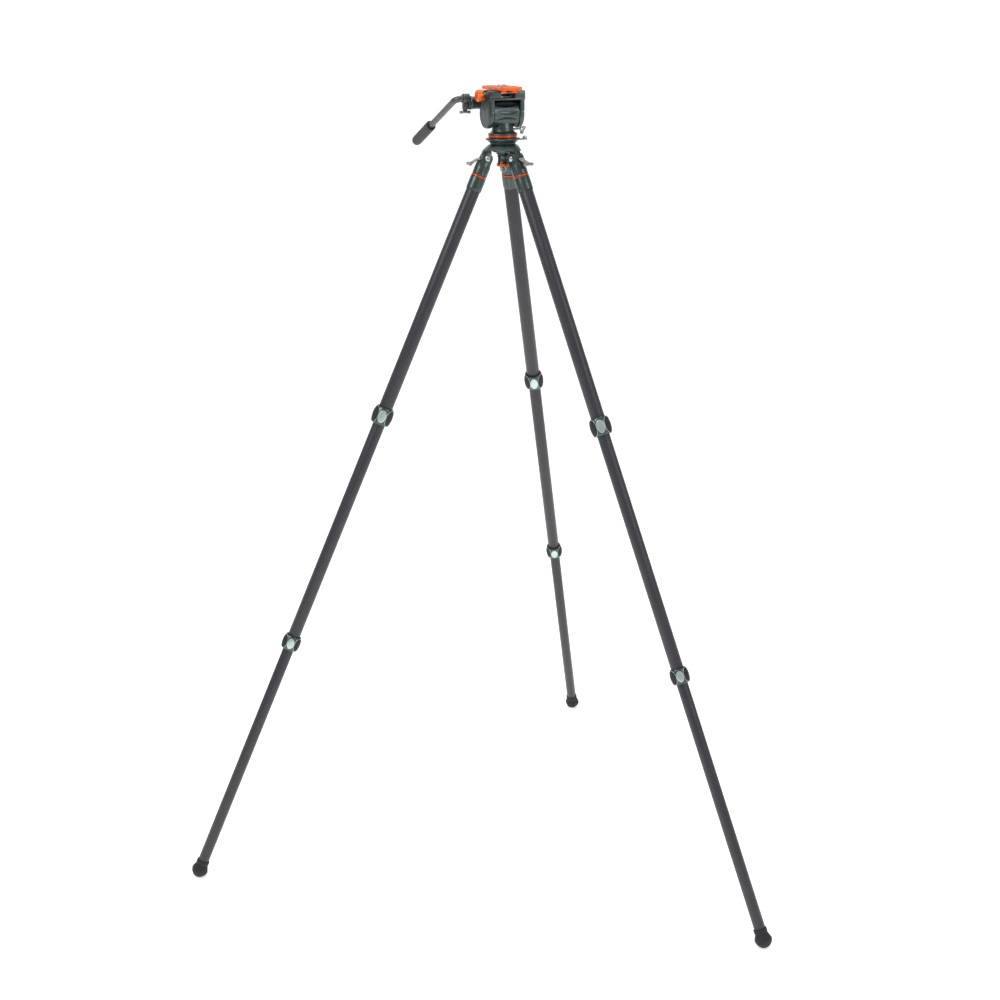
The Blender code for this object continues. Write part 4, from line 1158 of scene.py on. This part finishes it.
def plate_pieces():
    """Orange plate: slab with round corners and a rail, two dark pads and a video pin."""
    low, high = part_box("quick_plate")
    half = high.x
    corner = 0.0045
    outline = []
    for x, y, first in ((half, high.y, 0), (-half, high.y, 90), (-half, low.y, 180), (half, low.y, 270)):
        centre = (x - copysign(corner, x), y - copysign(corner, y))
        outline += arc(centre, corner, first, first + 90, 12)
    screw = joint_point("camera_screw_turn")
    plate = prism("plate_slab", outline, -PLATE_SLAB, high.z, 0.0011, 3)
    rail = move(
        prism("rail", dovetail_outline(low.z, 0.0), -(high.y - 0.006), -(low.y + 0.014), 0.0004), LAID_Y
    )
    slot = prism(
        "slot", arc((0, screw.y), 0.0036, 0, 180, 16) + arc((0, -0.034), 0.0036, 180, 360, 16), -0.02, 0.01
    )
    recess = prism(
        "recess", arc((0, screw.y), 0.0085, 0, 180, 20) + arc((0, -0.034), 0.0085, 180, 360, 20), -0.02,
        -0.0045,
    )
    pockets = []
    for side in (-1, 1):
        x_low, x_high = sorted((side * 0.0075, side * 0.0185))
        pockets.append(
            box_piece("pocket", (x_low, low.y + 0.010, -0.0006), (x_high, high.y - 0.010, 0.01), 0.0)
        )
    waist = []
    for side in (-1, 1):
        for y in (-0.030, 0.002, 0.034):
            groove = box_piece("side_groove", (0, 0, 0), (0.004, 0.022, 0.0022), 0.0009)
            x = side * (half + 0.0009) - 0.002
            waist.append(move(groove, shift((x, y - 0.011, -0.0050))))
    plate = cut(fuse(plate, rail), slot, recess, *pockets, *waist)
    # the plate takes the brighter copy of the orange: painted light
    place(plate, HERE, "orange_painted_lit", "plate", "quick_plate", sharp=30.0)
    for side in (-1, 1):
        x_low, x_high = sorted((side * 0.0078, side * 0.0182))
        pad = grip_pad(f"plate_pad_{side + 2}", x_low, x_high, low.y + 0.0103, high.y - 0.0103, high.z)
        place(pad, HERE, "rubber", "plate", "quick_plate")
    screw_low, screw_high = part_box("camera_screw")
    body = turned(
        "camera_screw_body",
        thread_profile(0.0032, screw_high.z, -0.0046) + [(0.0078, -0.0048)] + beside(
            0, screw_low.z, (0.0078, 0.0010), (0.0070, 0), (0.0004, 0)
        ),
        steps=48, edge=0,
    )
    place(body, shift((0, screw.y, 0)), "steel", "camera_screw", "camera_screw", sharp=40.0)
    pin = turned(
        "video_pin", [(0.0004, 0.0031), (0.0012, 0.0030), (0.0019, 0.0022), (0.0019, -0.0010)], steps=32,
        edge=0.0002,
    )
    place(pin, shift((0, 0.020, 0)), "steel", "plate", "quick_plate")


def grip_pad(name, x_low, x_high, y_low, y_high, top):
    """Anti-slip pad with cross ribs just under the plate's top face."""
    bm = bmesh.new()
    rows = 90
    previous = None
    for row in range(rows + 1):
        y = y_low + (y_high - y_low) * row / rows
        z = top - 0.00005 - (0.00025 if row % 3 == 0 else 0.0)
        ends = [(x_low, -0.0006), (x_low, z), (x_high, z), (x_high, -0.0006)]
        ring = [bm.verts.new((x, y, height)) for x, height in ends]
        if previous:
            for i in range(4):
                bm.faces.new((previous[i], previous[(i + 1) % 4], ring[(i + 1) % 4], ring[i]))
        else:
            bm.faces.new(ring)
        previous = ring
    bm.faces.new(previous)
    return mesh_object(name, bm)


def thread_profile(radius, top, bottom):
    points = [(0.0004, top), (radius - 0.0006, top), (radius - 0.0003, top - 0.0004)]
    pitch = 0.00127
    z = top - 0.0006
    while z > bottom + pitch:
        points += [(radius, z - pitch * 0.25), (radius - 0.0005, z - pitch * 0.75)]
        z -= pitch
    return points + [(radius, bottom)]


# ---------------------------------------------------------------- pan handle


BAR_R = 0.0064
BAR_Z = -0.0245
BAR_LENGTH = 0.235  # from the bend to the tip
FOAM_PITCH = 0.0022
FOAM_RIBS = 18  # on each side of the seam


def rosette_pieces():
    low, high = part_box("rosette_lug")
    middle = (low + high) / 2
    radius = (high.z - low.z) / 2
    stand = shift((0, middle.y, middle.z))
    lug = turned(
        "rosette_lug_body",
        [(radius - 0.0012, high.x), (radius - 0.0012, high.x - 0.004)] + beside(
            radius, low.x, (-0.0006, 0.0060), (0, 0.0045), (0, 0.0010), (-0.0008, 0)
        ),
        steps=72, edge=0.0005,
    )
    place(move(lug, ALONG_X), stand, "green_grey", "tilt_head", "rosette_lug")
    low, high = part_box("handle_socket")
    disc_r = radius - 0.0010
    rings = []
    for size, x in (
        (disc_r - 0.0012, high.x), (disc_r, high.x - 0.0004), (disc_r, high.x - 0.0034),
        (disc_r - 0.0010, high.x - 0.0045),
    ):
        rings.append(ring_at(x, 144, lambda angle: size - scallop(0.0004, 36, angle)))
    disc = move(skin("socket_disc", rings), ALONG_X)
    place(disc, stand, "dark_metal", "handle", "handle_socket", sharp=45.0)
    barrel = turned(
        "socket_barrel",
        [
            (0.0102, high.x - 0.0010), (0.0102, low.x + 0.0012), (0.0094, low.x), (BAR_R + 0.0003, low.x),
            (BAR_R + 0.0003, high.x - 0.0050), (0.0004, high.x - 0.0050), (0.0004, high.x - 0.0010),
        ],
        closed=True, steps=72, edge=0.0004,
    )
    place(move(barrel, ALONG_X), shift((0, middle.y, BAR_Z)), "green_grey", "handle", "handle_socket")
    foot_block = box_piece(
        "socket_foot", (low.x + 0.0010, middle.y - 0.0065, low.z),
        (high.x - 0.0017, middle.y + 0.0065, BAR_Z - 0.0080), 0.0012,
    )
    screw = joint_point("handle_screw_turn")
    cut(foot_block, drill(M5_HOLE_R, -0.0368, -0.05, 24, shift((screw.x, screw.y, 0))))
    place(foot_block, HERE, "green_grey", "handle", "handle_socket")
    low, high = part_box("handle_screw")
    stem = turned(
        "handle_screw_stem",
        [
            (0.0025, high.z), (0.0025, -0.0412), (0.0040, -0.0414), (0.0044, -0.0420), (0.0044, -0.0470),
            (0.0036, -0.0500),
        ],
        steps=40, edge=0.0003,
    )
    place(stem, shift((screw.x, screw.y, 0)), "dark_metal", "handle_screw", "handle_screw")
    reach = (high.x - low.x) / 2
    outline = [
        (-reach, -0.0512), (-reach + 0.0012, low.z + 0.0004), (-reach + 0.0040, low.z), (-0.0040, -0.0532),
        (0.0040, -0.0532), (reach - 0.0040, low.z), (reach - 0.0012, low.z + 0.0004), (reach, -0.0512),
        (reach - 0.0004, -0.0486), (reach - 0.0020, -0.0476), (0.0050, -0.0478), (-0.0050, -0.0478),
        (-reach + 0.0020, -0.0476), (-reach + 0.0004, -0.0486),
    ]
    wing = move(prism("handle_screw_wing", outline, -0.0022, 0.0022, 0.0009, 3), LAID_Y)
    place(wing, shift((screw.x, screw.y, 0)), "warm_steel", "handle_screw", "handle_screw")


def bar_path():
    """Centre line of the bar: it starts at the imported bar's inner end, then bends at a set corner."""
    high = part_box("pan_bar")[1]
    rosette = joint_point("handle_angle")
    start = Vector((high.x, rosette.y, high.z - BAR_R))
    corner = Vector((-0.086, rosette.y, start.z))
    direction = Vector((-0.067, 0.915, -0.413)).normalized()
    inward = Vector((1.0, 0.0, 0.0))
    elbow_r = 0.0142
    turn = acos(-inward.dot(direction))
    tangent = elbow_r * tan(turn / 2)
    first = corner + inward * tangent
    last = corner + direction * tangent
    centre = corner + (direction + inward).normalized() * (elbow_r / cos(turn / 2))
    first_arm = (first - centre).normalized()
    last_arm = (last - centre).normalized()
    points = [start, first]
    for step in range(1, 24):
        points.append(centre + first_arm.slerp(last_arm, step / 24).normalized() * elbow_r)
    points += [last, corner + direction * BAR_LENGTH]
    return points, direction, corner


def handle_pieces():
    points, direction, corner = bar_path()
    bar = sweep("pan_bar_tube", points, BAR_R, 48)
    place(bar, HERE, "bar_metal", "handle", "pan_bar", sharp=50.0)
    grip_r = 0.0108
    length = 0.097
    end = corner + direction * (BAR_LENGTH + 0.0013)
    turn = (-direction).to_track_quat("Z", "Y").to_matrix().to_4x4()
    steps = 96
    profile = [
        (0.0006, -0.0040), (0.0024, -0.0038), (0.0043, -0.0032), (0.0062, -0.0018), (0.0082, 0.0004),
        (0.0096, 0.0030), (0.0103, 0.0060), (0.0106, 0.0090),
    ]
    for i in range(FOAM_RIBS):
        profile.append((grip_r - 0.0001 * sin(i * 1.7) ** 2, 0.0120 + FOAM_PITCH * i))
    seam = 0.0120 + FOAM_PITCH * FOAM_RIBS
    profile += beside(grip_r, seam, (0, -0.0006), (-0.0006, 0), (0, 0.0006))
    for i in range(1, FOAM_RIBS):
        profile.append((grip_r - 0.0001 * sin(i * 1.3) ** 2, seam + FOAM_PITCH * i))
    profile += beside(grip_r, length, (0, -0.0050), (-0.0004, -0.0042), (-0.0018, -0.0040))
    profile += beside(
        BAR_R, length, (0.0008, -0.0042), (0.0005, -0.0120)
    ) + [(BAR_R + 0.0005, 0.0), (0.0004, 0.0)]
    rings = [circle(radius, height, steps) for radius, height in profile]
    grip = skin("foam_grip", rings)
    place(grip, shift(end) @ turn, "foam", "handle", "grip", sharp=60.0)


# ---------------------------------------------------------------- pieces kept as they are

KEPT = {"ball_liner": "nylon"}
for leg_name in LEGS:
    KEPT[f"{leg_name}_upper_collet"] = "nylon"
    KEPT[f"{leg_name}_lower_collet"] = "nylon"


def dress_kept_nodes():
    for node, look in KEPT.items():
        obj = frame["nodes"][node]
        obj.data.materials.clear()
        obj.data.materials.append(MATERIALS[look])


# ---------------------------------------------------------------- floor, light and camera


def floor():
    """Plain pale floor that curves up far behind the tripod."""
    base = cad_bounds[0][2]
    bm = bmesh.new()
    rows = []
    profile = [(-7.0, 0.0), (7.0, 0.0)] + [
        (7.0 + 2.5 * sin(t), 2.5 * (1 - cos(t))) for t in [pi / 2 * i / 16 for i in range(1, 17)]
    ]
    profile.append((9.5, 9.0))
    for along, up in profile:
        rows.append([bm.verts.new((x, along, base + up)) for x in (-12.0, 12.0)])
    for near, far in zip(rows, rows[1:]):
        bm.faces.new((near[0], near[1], far[1], far[0]))
    sheet = mesh_object("studio_floor", bm)
    sheet.data.shade_smooth()
    sheet.data.materials.append(floor_paint())
    sheet.matrix_world = Matrix.Rotation(VIEW_AZIMUTH, 4, "Z")


def floor_paint():
    made, tree, shader = node_material("floor_paint", 0.9)
    shader.inputs["Emission Color"].default_value = (1.0, 1.0, 1.0, 1.0)
    shader.inputs["Emission Strength"].default_value = 0.55
    tree.links.new(
        ramp(tree, noise(tree, 3.0), (0.93, 0.93, 0.93), (0.95, 0.95, 0.95)), shader.inputs["Base Color"]
    )
    return made


VIEW_AZIMUTH = radians(-21.36)
CAMERA_REACH = 3.325
CAMERA_Z = 0.1376
PITCH = radians(16.71)
YAW = radians(-0.238)
ROLL = radians(-0.653)
LENS = 57.87


def aim_camera():
    data = bpy.data.cameras.new("view")
    data.lens = LENS
    data.sensor_width = 36.0
    data.shift_y = -0.003
    camera = bpy.data.objects.new("view", data)
    bpy.context.scene.collection.objects.link(camera)
    right = Vector((cos(YAW), -sin(YAW), 0))
    level = Vector((sin(YAW), cos(YAW), 0))
    forward = level * cos(PITCH) - Vector((0, 0, sin(PITCH)))
    up = level * sin(PITCH) + Vector((0, 0, cos(PITCH)))
    rolled_right = right * cos(ROLL) + up * sin(ROLL)
    rolled_up = up * cos(ROLL) - right * sin(ROLL)
    turn = Matrix((rolled_right, rolled_up, -forward)).transposed().to_4x4()
    spot = shift((0, -CAMERA_REACH, CAMERA_Z))
    camera.matrix_world = Matrix.Rotation(VIEW_AZIMUTH, 4, "Z") @ spot @ turn
    bpy.context.scene.camera = camera


def lamp(name, place_at, target, size, power, colour=(1.0, 1.0, 1.0)):
    data = bpy.data.lights.new(name, "AREA")
    data.shape = "RECTANGLE"
    data.size, data.size_y = size
    data.energy = power
    data.color = colour
    obj = bpy.data.objects.new(name, data)
    bpy.context.scene.collection.objects.link(obj)
    spot = Matrix.Rotation(VIEW_AZIMUTH, 4, "Z") @ Vector(place_at)
    obj.location = spot
    obj.rotation_euler = (Vector(target) - spot).to_track_quat("-Z", "Y").to_euler()


def light_studio():
    world = bpy.data.worlds.new("studio")
    world.use_nodes = True
    world.node_tree.nodes["Background"].inputs["Color"].default_value = (1.0, 1.0, 1.0, 1.0)
    world.node_tree.nodes["Background"].inputs["Strength"].default_value = 0.35
    bpy.context.scene.world = world
    middle = (0.0, 0.0, -0.7)
    lamp("key", (-2.6, -2.2, 2.2), middle, (1.6, 2.2), 70.0)
    lamp("fill", (3.0, -2.4, 1.2), middle, (1.6, 2.4), 38.0)
    lamp("top", (0.0, 0.4, 3.2), middle, (3.0, 3.0), 60.0)


# ---------------------------------------------------------------- assembly


def main():
    build_legs()
    spider_casting()
    level_base_pieces()
    handle_below()
    pan_pieces()
    drum_pieces()
    yoke_pieces()
    cap_pieces()
    clamp_pieces()
    plate_pieces()
    rosette_pieces()
    handle_pieces()
    dress_kept_nodes()
    floor()
    aim_camera()
    light_studio()
    bpy.context.scene.view_settings.view_transform = "Standard"


main()
